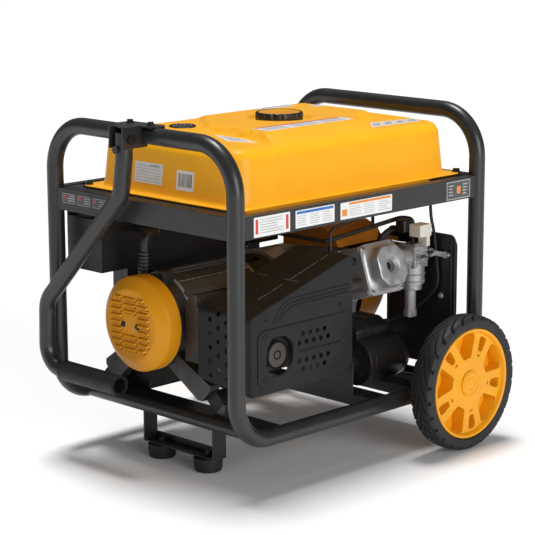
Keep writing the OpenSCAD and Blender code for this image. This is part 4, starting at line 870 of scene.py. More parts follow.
# ---------------------------------------------------------------- wheels
AXLE_X, AXLE_Z, TYRE_R, TYRE_W, RIM_R, WHEEL_OUT = 213.4, 132.5, 132.5, 48.0, 107.5, 336.5
TREADS, SWEEP, GROOVE_DEPTH, GROOVE_EDGE = 26, 0.40, 4.6, 0.9
LIP, LIP_RUN = 0.5, 2.0
BEAD_POINTS = 3


def tyre_profile():
    """(radius, along) from the inner bead, over the tread, to the outer bead."""
    w, r, b = TYRE_W / 2, TYRE_R, RIM_R
    pts = [(b + 0.05, -w + 3), (b + 1.5, -w + 1.2), (b + 4, -w + 0.5), (b + 9, -w + 0.15),
           (b + 14, -w), (r - 9, -w), (r - 6, -w + 0.6), (r - 4, -w + 1.8), (r - 2.4, -w + 3.6)]
    count = 26
    for k in range(count + 1):
        t = -1 + 2 * k / count
        pts.append((r - 1.6 * abs(t) ** 2.6, t * (w - 5.4)))
    pts += [(a, -h) for a, h in pts[:9][::-1]]
    pts += [(b + 0.05, w - 8), (b + 0.05, 0), (b + 0.05, -w + 8)]
    return pts


def groove(theta, t):
    """Depth under the tread's outline at an angle and a place across it, with raised lips."""
    u = abs(t)
    pitch = TAU / TREADS
    sweep = SWEEP * (1 - u) ** 1.5
    offset = 0.0 if t > 0 else 0.5
    phase = ((theta + sweep) / pitch + offset) % 1.0
    dist = abs(phase - 0.5) * pitch * TYRE_R
    width = lerp(1.2, 2.6, u)
    cut = GROOVE_DEPTH * (1 - smooth((dist - width) / GROOVE_EDGE))
    lip = LIP * (1 - smooth((dist - width - 0.8) / LIP_RUN))
    return cut + LIP - lip * (1 - cut / GROOVE_DEPTH)


def tyre(name, side, body, node):
    prof = tyre_profile()
    n, count = len(prof), 900
    verts = []
    half = TYRE_W / 2
    mid_y = WHEEL_OUT - half
    for i in range(count):
        a = TAU * i / count
        c, s = math.cos(a), math.sin(a)
        for k, (r, h) in enumerate(prof):
            if r > TYRE_R - 8 and k < n - BEAD_POINTS:
                cut = groove(a, clamp(h / (half - 2), -1, 1))
                r -= cut
                if abs(h) > half - 4:
                    h -= math.copysign(cut * 0.5, h)
            verts.append(P(AXLE_X + r * c, side * (mid_y + h), AXLE_Z + r * s))
    faces = [f if side > 0 else f[::-1] for f in wrapped(count, n)]
    make(name, verts, faces, "tyre", body, [node], 50)


tyre("tyre_left_tread", -1, "wheel_left", "tyre_left")
tyre("tyre_right_tread", 1, "wheel_right", "tyre_right")


def turned(points, a):
    c, s = math.cos(a), math.sin(a)
    return [(x * c - y * s, x * s + y * c) for x, y in points]


def rim(name, side, body, node):
    """Moulded wheel: barrel, dished face with five large and five small windows, hub and cap."""
    w, b = TYRE_W / 2, RIM_R - 0.05
    mid = WHEEL_OUT - w
    prof = [(b, -w + 3), (b, w - 2.6), (b - 0.8, w - 1.3), (b - 2.4, w - 0.9), (b - 4.6, w - 1.2),
            (b - 6.2, w - 2.6), (b - 7.4, w - 6.5), (b - 9.5, w - 9.2), (b - 13, w - 9.8),
            (66, w - 8.4), (46, w - 6.8), (38, w - 6.2), (9, w - 6.2), (9, -w - 4), (23, -w - 4),
            (24, -w - 3), (24.5, -w + 9), (30, -w + 7), (b - 8, -w + 6), (b - 5, -w + 5),
            (b - 4, -w + 3)]
    big = rounded([(50, -11.5), (50, 11.5), (b - 16, 31), (b - 10.5, 18), (b - 9, 0),
                   (b - 10.5, -18), (b - 16, -31)], [8, 8, 8, 20, 20, 20, 8], 6)
    small = rounded([(65, -6), (65, 6), (86, 10), (94, 9), (94, -9), (86, -10)],
                    [5, 5, 8, 6, 6, 8], 5)
    notch = rounded([(54.5, -4.2), (54.5, 4.2), (58.5, 4.2), (58.5, -4.2)], 1.2, 3)
    hole = (lambda x, z, y: P(AXLE_X + x, y, AXLE_Z + z))
    outer, deep, shallow = side * (mid + w + 5), side * (mid - w + 11), side * (mid + w - 14)
    cutter = Cutter()
    for i in range(5):
        spoke = math.radians(98 + 72 * i)
        between = spoke + math.radians(36)
        cutter.add(turned(big, spoke), hole, deep, outer)
        cutter.add(turned(small, between), hole, deep, outer)
        cutter.add(turned(notch, between), hole, shallow, outer)
    centre = (AXLE_X, side * mid, AXLE_Z)
    me = cutter.carve(name, *lathe_points(prof, centre, "y", 180, side), (0.0022, 3, 48))
    finish_mesh(name, me, ["rim"], body, [node], 42)
    cap = Build()
    cap_prof = [(0, -9), (20.8, -9), (20.8, -7.2), (24.2, -7.2), (24.6, -6), (25.2, -5.4),
                (25.2, -3.9), (24.4, -3.0), (22.6, -2.6), (21.8, -3.6), (20.8, -3.6),
                (20.0, -2.6), (13.0, -2.6), (12.2, -3.6), (11.2, -3.6), (10.4, -2.6),
                (0, -2.5)]
    cap.shell(*lathe_points([(r, h + w) for r, h in cap_prof], centre, "y", 72, side), "rim")
    cap.done(name + "_cap", body)


rim("rim_left_moulding", -1, "wheel_left", "rim_left")
rim("rim_right_moulding", 1, "wheel_right", "rim_right")


# ---------------------------------------------------------------- heat shield
SHIELD_X, SHIELD_Y, SHIELD_Z0, SHIELD_ZL, SHIELD_ZR = (-265, 4), (-216, -78), 174, 322, 404
OUTLET = (-195, 243)
SLOPE = (SHIELD_ZR - SHIELD_ZL) / (SHIELD_X[1] - SHIELD_X[0])


def vent_holes():
    holes = []
    for k in (0, 1):
        for i in range(4 + k):
            x = -133 + i * 19.2 - k * 9.6
            dz = 33 - k * 16
            holes += [(x, 240 + dz), (x, 240 - dz)]
    return holes


def shield_slope(u, v, w):
    """On the sloping top: u along X, v along Y, w up."""
    tilt = math.atan(SLOPE)
    return P(u - w * math.sin(tilt), v, SHIELD_ZL + (u - SHIELD_X[0]) * SLOPE
             + w * math.cos(tilt))


def shield_outline():
    """Front outline, with points up its left edge for the side that narrows at its foot."""
    x0, x1 = SHIELD_X
    outline = rounded([(x0, SHIELD_Z0), (-22, SHIELD_Z0), (x1, 192), (x1, SHIELD_ZR),
                       (x0, SHIELD_ZL)], [7, 6, 6, 12, 12], 5)

    def left_run(k):
        (xa, za), (xb, zb) = outline[k - 1], outline[k]
        return abs(zb - za) if abs(xa - x0) < 1e-6 and abs(xb - x0) < 1e-6 else 0

    last = max(range(len(outline)), key=left_run)
    outline[last:last] = [(x0, z) for z in (302, 280, 250, 220, 200, 196, 192, 189, 186, 183)]
    return outline


def shield_pressing():
    """Bent sheet with a front and sides, and its vents, outlet and pipe openings cut out."""
    x0, x1 = SHIELD_X
    outline = shield_outline()
    sheet, bend, side_depth, foot_depth = 1.5, 3.2, SHIELD_Y[1] - SHIELD_Y[0], 14
    n = len(outline)
    verts = []

    def row(inset, d=None):
        pts = inset_outline(outline, inset) if inset > 0 else outline
        for (x, z), (_, oz) in zip(pts, outline):
            low = 1 - smooth((oz - SHIELD_Z0 - 3) / 14)
            y = lerp(side_depth, foot_depth, low) if d is None else d
            verts.append(P(x, SHIELD_Y[0] + y, z))

    arc = [math.pi / 2 * k / 5 for k in range(6)]
    rows = [(bend * (1 - math.sin(a)), bend * (1 - math.cos(a))) for a in arc]
    for inset, d in rows:
        row(inset, d)
    row(0)
    row(sheet)
    for inset, d in rows[::-1]:
        row(inset + sheet * (1 - inset / bend), d + sheet * inset / bend + 0.001)
    count = len(verts) // n
    front = (SHIELD_Y[0] - 3, SHIELD_Y[0] + 5)
    cutter = Cutter()
    for x, z in vent_holes():
        cutter.add(ring(x, z, 5.4, 20), along_y, *front)
    cutter.add(ring(*OUTLET, 37.5, 40), along_y, *front)
    for r in range(5):
        for k in range(5):
            y, z = -194 + r * 21, 200 + k * 26 + (r % 2) * 13
            cutter.add(ring(y, z, 4.8, 18), along_x, x0 - 2, x0 + 5)
    cutter.add(ring(-148, 262, 18, 32), along_x, x1 - 4, x1 + 3)
    me = cutter.carve("heat_shield_pressing", verts, stacked(count, n) + end_faces(count, n))
    finish_mesh("heat_shield_pressing", me, ["shield"], "frame", ["heat_shield"], 32)


def shield_embossing():
    """Raised front panel, its studs and bead, three pressed lines, and on top the slots as lighter
    raised bars of painted highlight.
    """
    front = on_plane("-y", SHIELD_Y[0] + 0.4)
    b = Build()
    panel = rounded([(-249, 199), (-237, 187), (-21, 187), (-8, 199), (-8, 283), (-21, 295),
                     (-237, 295), (-249, 283)], 6, 4)
    hexagon = rounded([(-226, 261), (-211, 279), (-181, 277), (-158, 261), (-160, 225),
                       (-186, 204), (-216, 207), (-229, 230)], 9, 4)
    plate(b, panel, [hexagon] + [ring(x, z, 4.7, 20) for x, z in vent_holes()], front, 2.4, 1.5,
          "shield", 3)
    for x, z in ((-231, 281), (-47, 279), (-47, 206), (-231, 203), (-24, 242)):
        stud = [(0, 0), (6.4, 0), (5.4, 1.4), (3.8, 2.0), (2.8, 1.2), (0, 1.0)]
        b.shell(*lathe_points(stud, (x, SHIELD_Y[0] - 1.9, z), "y", 20, -1), "shield")
    bead = [P(x, y, 240) for x, y in ((-143, -217.6), (-100, -217.8), (-60, -217.8),
                                      (-34, -217.6))]
    b.shell(*tube_points(bead, 0.0022, 10), "shield")
    for path in ([(-209, 304), (-186, 334), (-168, 342), (-10, 346)],
                 [(-200, 306), (-178, 329), (-160, 335), (-10, 338)],
                 [(-191, 308), (-170, 324), (-152, 329), (-10, 331)]):
        pts = [P(x, SHIELD_Y[0] + 0.6, z) for x, z in rounded_path(path, 10)]
        b.shell(*tube_points(pts, 0.0021, 10), "shield")
    # lighter bars along the slots on the top: painted highlight
    for u0, u1 in ((-206, -142), (-125, -47), (-40, -20)):
        slab(b, u0, u1, -175.4, -172.6, shield_slope, 1.5, "edge", 1.3, 0.6)
    for v0, v1 in ((-119, -94), (-200, -161)):
        slab(b, -126.4, -123.6, v0, v1, shield_slope, 1.5, "edge", 1.3, 0.6)
    b.done("heat_shield_embossing", "frame", angle=32)


def shield_screws():
    b = Build()
    for x, z in ((-226, 312), (-34, 311)):
        screw(b, (x, SHIELD_Y[0] + 1.5, z), "y", -1, 3.4)
    b.done("heat_shield_screws", "frame")


shield_pressing()
shield_embossing()
shield_screws()


# ---------------------------------------------------------------- alternator cover
CRANK_Y, CRANK_Z, COVER_X, COVER_R = 56.0, 273.0, -312.0, 91.0
LOUVRE_PITCH, LOUVRE_R = 12, 63


def louvres(grow):
    """(y0, y1, z) of each louvre: nine pairs and six in the middle, each end moved out by grow."""
    out = []
    for i in range(9):
        z = CRANK_Z - 47.5 + i * LOUVRE_PITCH
        reach = math.sqrt(LOUVRE_R ** 2 - (z - CRANK_Z) ** 2)
        for s in (-1, 1):
            ends = CRANK_Y + s * (23 - grow), CRANK_Y + s * min(52 + grow, reach)
            out.append((min(ends), max(ends), z))
    for i in (-4, -3, -2, 2, 3, 4):
        out.append((CRANK_Y - 17 - grow, CRANK_Y + 17 + grow, CRANK_Z + i * LOUVRE_PITCH))
    return out


def alternator_cover():
    """Dished moulding with its louvre slots cut, small hoods over them, and two screws."""
    r = COVER_R
    prof = [(0, 0), (r - 25, 0), (r - 22.5, 0.5), (r - 20, 1.9), (r - 6, 12.6), (r - 2.2, 15.2),
            (r - 0.6, 17), (r, 19.4), (r, 45.4), (r - 0.5, 46), (r - 2.6, 46), (r - 3, 45.6),
            (r - 3, 20), (r - 6, 17), (r - 19, 5), (r - 25, 3), (0, 3)]
    cutter = Cutter()
    for y0, y1, z in louvres(0):
        slot = rounded([(y0, z - 2.5), (y1, z - 2.5), (y1, z + 2.5), (y0, z + 2.5)], 2.4, 4)
        cutter.add(slot, along_x, COVER_X - 3, COVER_X + 6)
    body = lathe_points(prof, (COVER_X, CRANK_Y, CRANK_Z), "x", 144, 1)
    me = cutter.carve("alternator_cover_moulding", *body, (0.0007, 2, 60))
    finish_mesh("alternator_cover_moulding", me, ["yellow"], "frame",
                ["alternator_cover"], 38)
    b = Build()
    for y0, y1, z in louvres(1):
        hood(b, y0, y1, z + 2.6)
    b.done("alternator_cover_hoods", "frame")
    b = Build()
    for s in (-1, 1):
        screw(b, (COVER_X + 0.6, CRANK_Y + s * 20, CRANK_Z), "x", -1, 5)
    b.done("alternator_cover_screws", "frame")


def hood(build, y0, y1, z):
    """Small rounded lip standing out over a louvre."""
    lip = 1.2
    section = [(lip, 3.4), (-1.8, 3.0), (-4.4, 0.8), (-5.2, -2.4), (-4.4, -3.0), (-2.9, -0.2),
               (lip, 1.0)]
    verts = []
    for y, k in ((y0, 0.15), (y0 + 0.6, 0.6), (y0 + 1.8, 1), (y1 - 1.8, 1), (y1 - 0.6, 0.6),
                 (y1, 0.15)):
        verts += [P(COVER_X + (lip - (lip - a) * k), y, z + c * (0.4 + 0.6 * k))
                  for a, c in section]
    n = len(section)
    build.shell(verts, [f[::-1] for f in end_faces(6, n)] + stacked(6, n), "yellow")


alternator_cover()


# ---------------------------------------------------------------- fuel cap
def fuel_cap():
    """Shell with 18 lobes, and the plug below it with a coloured disc in its top."""
    lo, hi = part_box("fuel_cap")
    top = hi.z * 1000
    z0 = top - 17  # underside of the shell
    centre = ((lo.x + hi.x) * 500 - SHIFT, (lo.y + hi.y) * 500)
    radius = (hi.x - lo.x) * 500
    lobes, count = 18, 360
    rows = [(radius - 2.0, z0, 0.3), (radius - 0.6, z0 + 1.0, 0.8), (radius, z0 + 2.6, 1.0),
            (radius, top - 3.4, 1.0), (radius - 0.7, top - 1.4, 0.9),
            (radius - 2.0, top - 0.3, 0.5), (radius - 3.2, top, 0.1),
            (radius - 4.2, top - 0.3, 0.0), (radius - 4.7, top - 1.2, 0.0),
            (radius - 4.7, top - 2.6, 0.0), (7.0, top - 2.6, 0.0), (7.0, z0 + 13, 0.0),
            (radius - 8, z0 + 12, 0.0), (radius - 5.2, z0, 0.0)]
    verts = []
    for i in range(count):
        a = TAU * i / count
        wave = 0.5 + 0.5 * math.cos(lobes * a)
        dent = 2.3 * (1 - smooth(wave / 0.5))
        for r, z, k in rows:
            q = r - dent * k
            verts.append(P(centre[0] + q * math.cos(a), centre[1] + q * math.sin(a), z))
    b = Build()
    b.shell(verts, wrapped(count, len(rows)), "plastic")
    b.done("fuel_cap_lobes", "cap_shell", ["fuel_cap"], 40)

    disc = radius - 5.1
    prof = [(0, top - 0.9), (14, top - 0.9), (15, top - 0.4), (disc - 5, top - 0.2),
            (disc - 1.2, top - 0.5), (disc, top - 1.3), (disc, top - 2.3), (6, top - 2.3),
            (6, z0 + 11.6), (33, z0 + 11.6), (33, z0 + 6), (25.5, z0 + 6), (25.5, z0 - 12),
            (22.5, z0 - 12), (22.5, z0 + 4), (0, z0 + 4)]
    b = Build()
    b.shell(*lathe_points(prof, (centre[0], centre[1], 0), "z", 96, 1), "yellow")
    b.done("fuel_cap_plug", "cap_plug", ["fuel_cap_stem"], 40)


fuel_cap()


def fuel_gauge():
    """Flat dial let into the lower shelf of the tank, with a bezel, a scale and a pointer."""
    x, y, dial_r, marks = -163.0, 68.0, 17, 9
    z = tank_height(x, y)
    b = Build()
    prof = [(0, z - 6), (25.6, z - 6), (25.6, z + 1.2), (25.0, z + 2.4), (23.8, z + 3.0),
            (22.2, z + 2.8), (21.4, z + 2.0), (21.0, z + 1.4), (0, z + 1.4)]
    b.shell(*lathe_points(prof, (x, y, 0), "z", 72, 1), "plastic")
    face = (lambda u, v, w: P(x + u, y + v, z + 1.3 + w))
    for k in range(marks):
        a = math.radians(200 - 27.5 * k)
        u, v = dial_r * math.cos(a), dial_r * math.sin(a)
        plate(b, ring(u, v, 1.1 if k % 4 else 1.8, 10), [], face, 0.4, 0.1, "white", 1)
    a = math.radians(70)
    c, d = math.cos(a), math.sin(a)
    needle = [(-3 * c + 1.3 * d, -3 * d - 1.3 * c), (14 * c, 14 * d),
              (-3 * c - 1.3 * d, -3 * d + 1.3 * c)]
    plate(b, needle, [], face, 0.7, 0.15, "inkred", 1)
    b.shell(*lathe_map([(0, 0), (2.6, 0), (2.6, 1.2), (1.8, 1.6), (0, 1.6)], face, 20),
            "plastic")
    b.done("fuel_gauge_dial", "frame", ["fuel_gauge"], 40)


fuel_gauge()


# ---------------------------------------------------------------- engine details
CYL_X, TILT = 146.0, math.radians(90 - 18.5)
COVER_FOOT = 226.2


def on_cylinder(u, v, w):
    """Along the tilted cylinder: u along X, v across it, w out from the crankshaft."""
    return P(CYL_X + u, CRANK_Y + v * math.cos(TILT) - w * math.sin(TILT),
             CRANK_Z + v * math.sin(TILT) + w * math.cos(TILT))


def even_ring(outline, count):
    """Where count evenly spaced rays from the middle cross an outline."""
    pts = [Vector(p) for p in outline]
    crossings = []
    for k in range(count):
        ray = Vector((math.cos(TAU * k / count), math.sin(TAU * k / count)))
        best = 0.0
        for i in range(len(pts)):
            p, q = pts[i], pts[(i + 1) % len(pts)]
            d = q - p
            den = ray.x * d.y - ray.y * d.x
            if abs(den) < 1e-9:
                continue
            t = (p.x * d.y - p.y * d.x) / den
            w = (p.x * ray.y - p.y * ray.x) / den
            if t > 0 and -1e-6 <= w <= 1 + 1e-6:
                best = max(best, t)
        crossings.append(ray * best)
    return crossings


def valve_cover():
    """Square foot, a dome that turns into an octagon with a sunk middle, and its bolts."""
    b = Build()
    dome, corner, half, count = 40.0, 19.0, 51.0, 48
    octagon = [(-dome + corner, -dome), (dome - corner, -dome), (dome, -dome + corner),
               (dome, dome - corner), (dome - corner, dome), (-dome + corner, dome),
               (-dome, dome - corner), (-dome, -dome + corner)]
    square = rounded([(-half, -half), (half, -half), (half, half), (-half, half)], 17, 6)
    foot = COVER_FOOT
    loft(b, square, [(0.8, foot), (0, foot + 0.8), (0, foot + 3.6), (0.7, foot + 4.4),
                     (1.6, foot + 4.6)], on_cylinder, "cast")
    low, high = even_ring(square, count), even_ring(rounded(octagon, 5, 4), count)
    verts = []
    for share, inset, h in ((0.0, 2.6, 4.0), (0.0, 3.4, 5.4), (0.35, 3.2, 6.6), (0.75, 1.6, 9.5),
                            (0.95, 0.4, 14), (1.0, 0.0, 19), (1.0, 0.8, 30), (1.0, 1.6, 32.6),
                            (1.0, 3.4, 33.8)):
        for p, q in zip(low, high):
            m = p.lerp(q, share)
            verts.append(on_cylinder(*(m * (1 - inset / m.length)), foot + h))
    for r, h in ((18.6, 33.8), (17.4, 33.2), (12.6, 27.0), (11.4, 25.6), (11.4, 18.0)):
        verts += [on_cylinder(x, y, foot + h) for x, y in ring(0, 0, r, count)]
    rows = len(verts) // count
    b.shell(verts, stacked(rows, count) + end_faces(rows, count), "cast")
    b.done("valve_cover_casting", "frame", ["valve_cover"], 34)
    b = Build()
    for u, v in ((-42, -42), (42, -42), (42, 42), (-42, 42)):
        hex_bolt(b, on_cylinder, u, v, foot + 4.6, 4.2, "bright", 4)
    hex_bolt(b, on_cylinder, 0, 0, foot + 19, 5.6, "blackzinc", 5)
    b.done("valve_cover_bolts", "frame")


valve_cover()


def starter():
    """Starter motor can with banded ends, its solenoid case, terminals and through bolts."""
    y, z, r = -150.0, 166.0, 46.0
    b = Build()
    prof = [(0, 78), (34, 78), (36, 79.2), (r - 2.4, 79.2), (r - 0.6, 80.2), (r, 81.8), (r, 85),
            (r - 1.2, 86.4), (r - 3, 86.6), (r - 3, 96), (r - 3.8, 96.8), (r - 3.8, 99),
            (r - 3, 99.8), (r - 3, 176), (r - 3.8, 176.8), (r - 3.8, 179), (r - 3, 179.8),
            (r - 3, 192), (r - 4.5, 195), (r - 8, 196), (25, 196), (24, 197), (24, 202),
            (22.5, 204), (0, 204)]
    b.shell(*lathe_points(prof, (0, y, z), "x", 96, 1), "plastic")
    case = rounded([(-146, 196), (-66, 196), (-66, 238), (-120, 238), (-146, 224)],
                   [3, 4, 7, 9, 9], 4)
    loft(b, case, [(2.5, 92), (0.8, 92.8), (0, 94.5), (0, 185.5), (0.8, 187.2), (2.5, 188)],
         along_x, "plastic")
    for x in (112, 140, 168):
        loft(b, inset_outline(case, -0.9), [(1.4, x - 2.4), (0, x - 1.6), (0, x + 1.6),
                                            (1.4, x + 2.4)], along_x, "plastic")
    b.done("starter_motor_case", "frame", ["starter_motor"], 38)
    b = Build()
    end = on_plane("-x", 79.2)
    for a in (0.6, 2.2, 3.9, 5.4):
        hex_bolt(b, end, y + 28 * math.cos(a), z + 28 * math.sin(a), 0, 3.6, "blackzinc")
    b.shell(*lathe_map([(0, 0), (13, 0), (13, 1.8), (11.6, 3.0), (6, 3.4), (0, 3.4)], end, 40, y,
                       z), "blackzinc")
    side = on_plane("+x", 188)
    for u, v in ((-122, 214), (-92, 208)):
        b.shell(*lathe_map([(0, -1), (7, -1), (7, 1.2), (3.2, 1.6), (3.2, 7), (2.6, 7.8),
                            (0, 7.8)], side, 24, u, v), "bright")
    b.done("starter_terminals", "frame")
    b = Build()
    loft(b, rounded([(-122, 156), (-42.6, 152), (-42.6, 194), (-108, 194)], 5, 4),
         [(1.2, 96), (0, 97.2), (0, 122.8), (1.2, 124)], along_x, "cast")
    b.done("starter_flange", "frame")


starter()


def muffler_outlet():
    b = Build()
    collar = [(0, -3), (26.8, -3), (26.8, 3.4), (26.0, 4.4), (24.8, 4.8), (23.4, 4.2),
              (22.6, 2.6), (22.0, 2.0), (0, 2.0)]
    centre = [(0, 1.6), (5, 1.6), (7, 3.2), (8, 3.4), (9, 2.8), (9.6, 1.4), (0, 1)]
    # collar and centre in painted shade, standing for the dark opening of the outlet
    for prof, count in ((collar, 72), (centre, 40)):
        b.shell(*lathe_points(prof, (OUTLET[0], -210.5, OUTLET[1]), "y", count, -1), "dark")
    b.done("muffler_outlet_cap", "frame")


muffler_outlet()


def cable(name, points, r, mat="rubber"):
    """Round cable on a smooth curve through the points (a Catmull-Rom spline)."""
    pts = [P(*p) for p in points]
    dense = []
    for i in range(len(pts) - 1):
        a, b, c, d = (pts[max(i - 1, 0)], pts[i], pts[i + 1], pts[min(i + 2, len(pts) - 1)])
        for k in range(8):
            t = k / 8
            dense.append(0.5 * (2 * b + (c - a) * t + (2 * a - 5 * b + 4 * c - d) * t * t
                                + (3 * b - a - 3 * c + d) * t ** 3))
    dense.append(pts[-1])
    build = Build()
    build.shell(*tube_points(dense, r / 1000), mat)
    build.done(name, "frame", angle=60)


def engine_cables():
    cable("starter_lead", [(271, -177, 474), (271, -177, 452), (273, -178, 428), (279, -180, 400),
                           (280.5, -186, 350), (281, -190, 305), (279, -184, 285),
                           (274, -160, 258), (256, -130, 232), (222, -104, 216),
                           (196, -96, 210), (190, -92, 208)], 3.2)
    cable("breather_hose", [(196, -104, 372), (206, -110, 392), (226, -116, 404),
                            (252, -124, 404), (272, -130, 398), (283.6, -132, 392)], 6.5)
    cable("throttle_link", [(214, -128, 386), (226, -134, 382), (238, -142, 380)], 1.2, "bright")


def air_cleaner_plate():
    """Bolts and two upright ribs on the plate in front of the air cleaner."""
    face = on_plane("-x", 286)
    b = Build()
    hex_bolt(b, face, -195, 272, 0, 5.0, "bright")
    for u, v in ((-212, 385), (-70, 385), (-212, 150), (-70, 150)):
        hex_bolt(b, face, u, v, 0, 3.6, "blackzinc")
    b.done("air_cleaner_plate_bolts", "frame")
    b = Build()
    for u0, u1 in ((-222, -219), (-61, -58)):
        slab(b, u0, u1, 146, 384, face, 2.4, "plastic", 1.2, 0.8)
    b.done("air_cleaner_plate_ribs", "frame")


engine_cables()
air_cleaner_plate()


def carburetor_details():
    """Bowl bands and bolts, drain plug, front screws, idle spring and the side flange."""
    b = Build()
    cx, cy, cz = 250.0, -150.0, 352.0
    for w in (cz - 15, cz - 36, cz - 50):
        band = [(23.6, w), (25.6, w + 0.6), (26.2, w + 1.8), (25.6, w + 3), (23.6, w + 3.6),
                (20, w + 1.8)]
        b.shell(*lathe_map(band, P, 64, cx, cy), "cast")
    for u, v in ring(cx, cy, 21, 4, 0.5):
        hex_bolt(b, P, u, v, cz - 11.8, 3.2, "bright", 3)
    drain = [(0, cz - 121), (6, cz - 121), (7.4, cz - 119.6), (7.4, cz - 114), (0, cz - 114)]
    b.shell(*lathe_map(drain, P, 6, cx - 12, cy - 6), "bright")
    front = on_plane("-y", cy - 22)
    for u, v, r in ((cx - 12, cz + 12, 5), (cx + 12, cz + 14, 4), (cx - 10, cz - 8, 4)):
        head = [(0, -1), (r, -1), (r, 3.2), (r - 0.8, 4), (1.6, 4), (1.2, 3), (0, 3)]
        b.shell(*lathe_map(head, front, 20, u, v), "bright")
    slab(b, cx - 19, cx + 17, cz - 2, cz + 5, front, 2.2, "bright", 2.4, 0.5)
    turns, per_turn, pitch = 8, 12, 0.34
    spring = []
    for k in range(turns * per_turn + 1):
        a = TAU * k / per_turn
        spring.append(P(cx - 26 + pitch * k, cy - 26 + 3 * math.cos(a), cz + 27 + 3 * math.sin(a)))
    b.shell(*tube_points(spring, 0.0006, 6), "bright")
    flange = rounded([(cy - 20, cz - 18), (cy + 20, cz - 18), (cy + 20, cz + 22),
                      (cy - 20, cz + 22)], 6, 4)
    loft(b, flange, [(0, 0), (0, 3), (0.8, 3.6)], on_plane("+x", cx + 20), "bright")
    b.done("carburetor_fittings", "frame")


def relay_cap():
    """Dark cap behind the relay box and the clip that joins them."""
    b = Build()
    lo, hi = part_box("relay_box")
    x, y, z = lo.x * 1000 - SHIFT, hi.y * 1000, hi.z * 1000
    cap = rounded([(x - 13, y + 2), (x + 15, y + 2), (x + 15, y + 26), (x - 13, y + 26)], 4, 4)
    loft(b, cap, [(2.5, z - 17), (0.8, z - 16), (0, z - 14), (0, z + 5), (1.2, z + 7.4),
                  (3.4, z + 8.4)], P, "plastic")
    clip = rounded([(x + 3, y - 3), (x + 10, y - 3), (x + 10, y + 6), (x + 3, y + 6)], 1, 2)
    loft(b, clip, [(0.5, z - 9), (0, z - 8.4), (0, z - 6), (0.5, z - 5.4)], P, "blackzinc")
    b.done("relay_cap", "frame")


carburetor_details()
relay_cap()


def stator_details():
    """Bands round the stator and its end castings, and the through rods between them."""
    b = Build()
    for x, r in ((-234, 89.2), (-206, 88.8), (-72, 88.8), (-44, 89.2)):
        band = [(r - 3, -3), (r, -2.6), (r + 0.5, -1.6), (r + 0.5, 1.6), (r, 2.6), (r - 3, 3)]
        b.shell(*lathe_points(band, (x, CRANK_Y, CRANK_Z), "x", 120, 1),
                "cast" if x in (-234, -44) else "laminate")
    b.done("stator_bands", "frame")
    b = Build()
    for k in range(8):
        a = math.radians(20 + 20 * k)
        y0, z0 = CRANK_Y + 89.4 * math.cos(a), CRANK_Z + 89.4 * math.sin(a)
        rod = [P(x, y0, z0) for x in (-232, -140, -46)]
        b.shell(*tube_points(rod, 0.0016, 10), "bright" if k % 2 else "laminate")
    b.done("stator_through_rods", "frame")


stator_details()


# ---------------------------------------------------------------- the CAD nodes' finish
LOOK = {
    "frame": ["hoop_handle_end", "hoop_wheel_end", "side_rails", "cross_members",
              "foot_bracket", "handle_tube", "handle_bracket", "baffle_plates", "axle"],
    "sheet": ["tank_band"],
    "rubber": ["rubber_feet", "handle_grip", "rubber_mounts", "fuel_hose", "outlet_cover_a",
               "outlet_cover_b"],
    "tank": ["tank_lower", "fuel_cap_stem"],
    # the shroud material holds painted shade: a darkened yellow
    "shroud": ["blower_housing", "cylinder_shroud"],
    "plastic": ["fuel_gauge", "recoil_cover", "recoil_grip", "starter_motor", "air_cleaner",
                "fuel_valve_lever", "dipstick", "breaker_a", "breaker_b", "wiring_conduit",
                "battery", "spark_plug", "fuel_cap", "handle_lock_button"],
    "panel": ["control_box", "panel_fittings"],
    "castdark": ["alternator_bells"],
    "cast": ["crankcase", "cylinder_head", "valve_cover", "carburetor"],
    "blackzinc": ["fasteners", "handle_pivot_pin"],
    "bright": ["choke_lever"],
    "machined": ["crankshaft", "flywheel"],
    "laminate": ["stator"],
    "exhaust": ["muffler"],
    "shield": ["heat_shield"],
    "brass": ["fuel_valve"],
    "cream": ["relay_box"],
    "green": ["start_button"],
    "red": ["engine_switch"],
    "tyre": ["tyre_left", "tyre_right"],
    "rim": ["rim_left", "rim_right"],
}
FINE = {"fasteners": 0.35, "tank_band": 0.5, "side_rails": 0.8, "hoop_handle_end": 0.8,
        "hoop_wheel_end": 0.8, "handle_tube": 0.8, "handle_grip": 3.5, "rubber_feet": 2.5,
        "valve_cover": 2.2, "crankcase": 1.6, "cylinder_head": 0.7, "battery": 2.5,
        "control_box": 1.6, "air_cleaner": 2.4, "recoil_cover": 1.4, "starter_motor": 1.4,
        "blower_housing": 1.2, "muffler": 1.6, "recoil_grip": 2.5, "wiring_conduit": 0.3,
        "fuel_hose": 0.3, "tank_lower": 1.0, "carburetor": 0.8, "handle_bracket": 0.8,
        "engine_switch": 0.6, "panel_fittings": 0.5, "fuel_gauge": 1.0, "relay_box": 0.6}
SHOWN = {n: k for k, names in LOOK.items() for n in names}
EDGE_WIDTH, EDGE_ANGLE = 0.7, 32


def dress():
    """Materials on the CAD nodes, with fine rounded edges of the widths in FINE, in mm."""
    for name, o in NODES.items():
        o.data.materials.clear()
        o.data.materials.append(M[SHOWN.get(name, "plastic")])
        if o.data.has_custom_normals:
            with bpy.context.temp_override(object=o, active_object=o):
                bpy.ops.mesh.customdata_custom_splitnormals_clear()
        for poly in o.data.polygons:
            poly.use_smooth = True
        weld = o.modifiers.new("weld", "WELD")
        weld.merge_threshold = 1e-5
        bev = o.modifiers.new("edges", "BEVEL")
        bev.width = FINE.get(name, EDGE_WIDTH) / 1000
        bev.segments = 2
        bev.limit_method = "ANGLE"
        bev.angle_limit = math.radians(EDGE_ANGLE)
        bev.use_clamp_overlap = True
        bev.harden_normals = False
        wn = o.modifiers.new("normals", "WEIGHTED_NORMAL")
        wn.keep_sharp = False
        wn.weight = 60


dress()


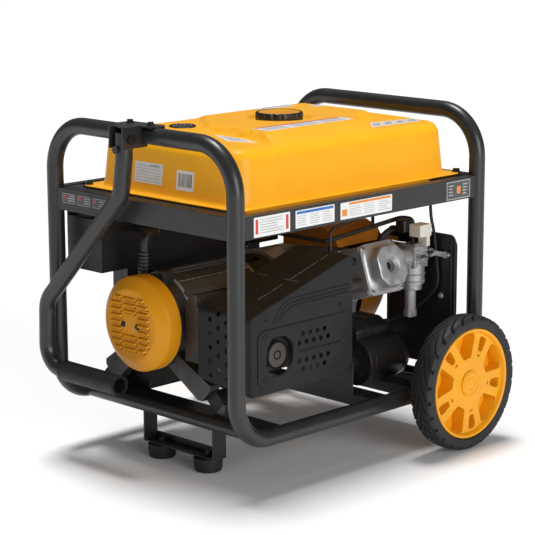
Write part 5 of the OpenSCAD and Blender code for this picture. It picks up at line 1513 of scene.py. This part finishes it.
# ---------------------------------------------------------------- studio
def studio_floor():
    m, nt, bs = new_mat("studio_floor")
    col = mix_colour(nt, remap(nt, noise(nt, coords(nt), 1.5, 3), 0, 1), (0.93, 0.93, 0.93),
                     (0.94, 0.94, 0.94))
    nt.links.new(col, bs.inputs["Base Color"])
    bs.inputs["Roughness"].default_value = 0.7
    nt.links.new(col, bs.inputs["Emission Color"])
    bs.inputs["Emission Strength"].default_value = 0.02
    me = bpy.data.meshes.new("studio_floor")
    half = 14.0
    corners = [(-half, -half, 0), (half, -half, 0), (half, half, 0), (-half, half, 0)]
    me.from_pydata(corners, [], [(0, 1, 2, 3)])
    me.materials.append(m)
    floor = bpy.data.objects.new("studio_floor", me)
    bpy.context.scene.collection.objects.link(floor)


def studio_light():
    """A pale world and two wide suns, given by direction, width in degrees and strength."""
    scene = bpy.context.scene
    world = bpy.data.worlds.new("studio")
    world.use_nodes = True
    bg = world.node_tree.nodes["Background"]
    bg.inputs["Color"].default_value = (1, 1, 1, 1)
    bg.inputs["Strength"].default_value = 0.16
    scene.world = world
    for name, toward, spread, power in (("top", (0.05, 0.16, 1.0), 22, 2.85),
                                        ("key", (-0.14, -1.0, 0.24), 38, 1.85)):
        light = bpy.data.lights.new(name, "SUN")
        light.angle = math.radians(spread)
        light.energy = power
        o = bpy.data.objects.new(name, light)
        o.rotation_euler = Vector(toward).to_track_quat("Z", "Y").to_euler()
        scene.collection.objects.link(o)
    scene.view_settings.view_transform = "Standard"


def studio_camera():
    """The photograph's viewpoint, as fitted: its axes, its place in mm and its lens."""
    right = Vector((0.70606889, -0.7081348, -0.00343862))
    up = Vector((0.14745832, 0.14227528, 0.97878179))
    ahead = Vector((0.69262022, 0.69159442, -0.20487651))
    cam = bpy.data.cameras.new("camera")
    cam.sensor_width = 36
    cam.lens = 130.56
    cam.clip_end = 60
    o = bpy.data.objects.new("camera", cam)
    pose = Matrix((right, up, -ahead)).transposed().to_4x4()
    pose.translation = P(-2617.226, -2607.096, 1117.623)
    o.matrix_world = pose
    bpy.context.scene.collection.objects.link(o)
    bpy.context.scene.camera = o


studio_floor()
studio_light()
studio_camera()
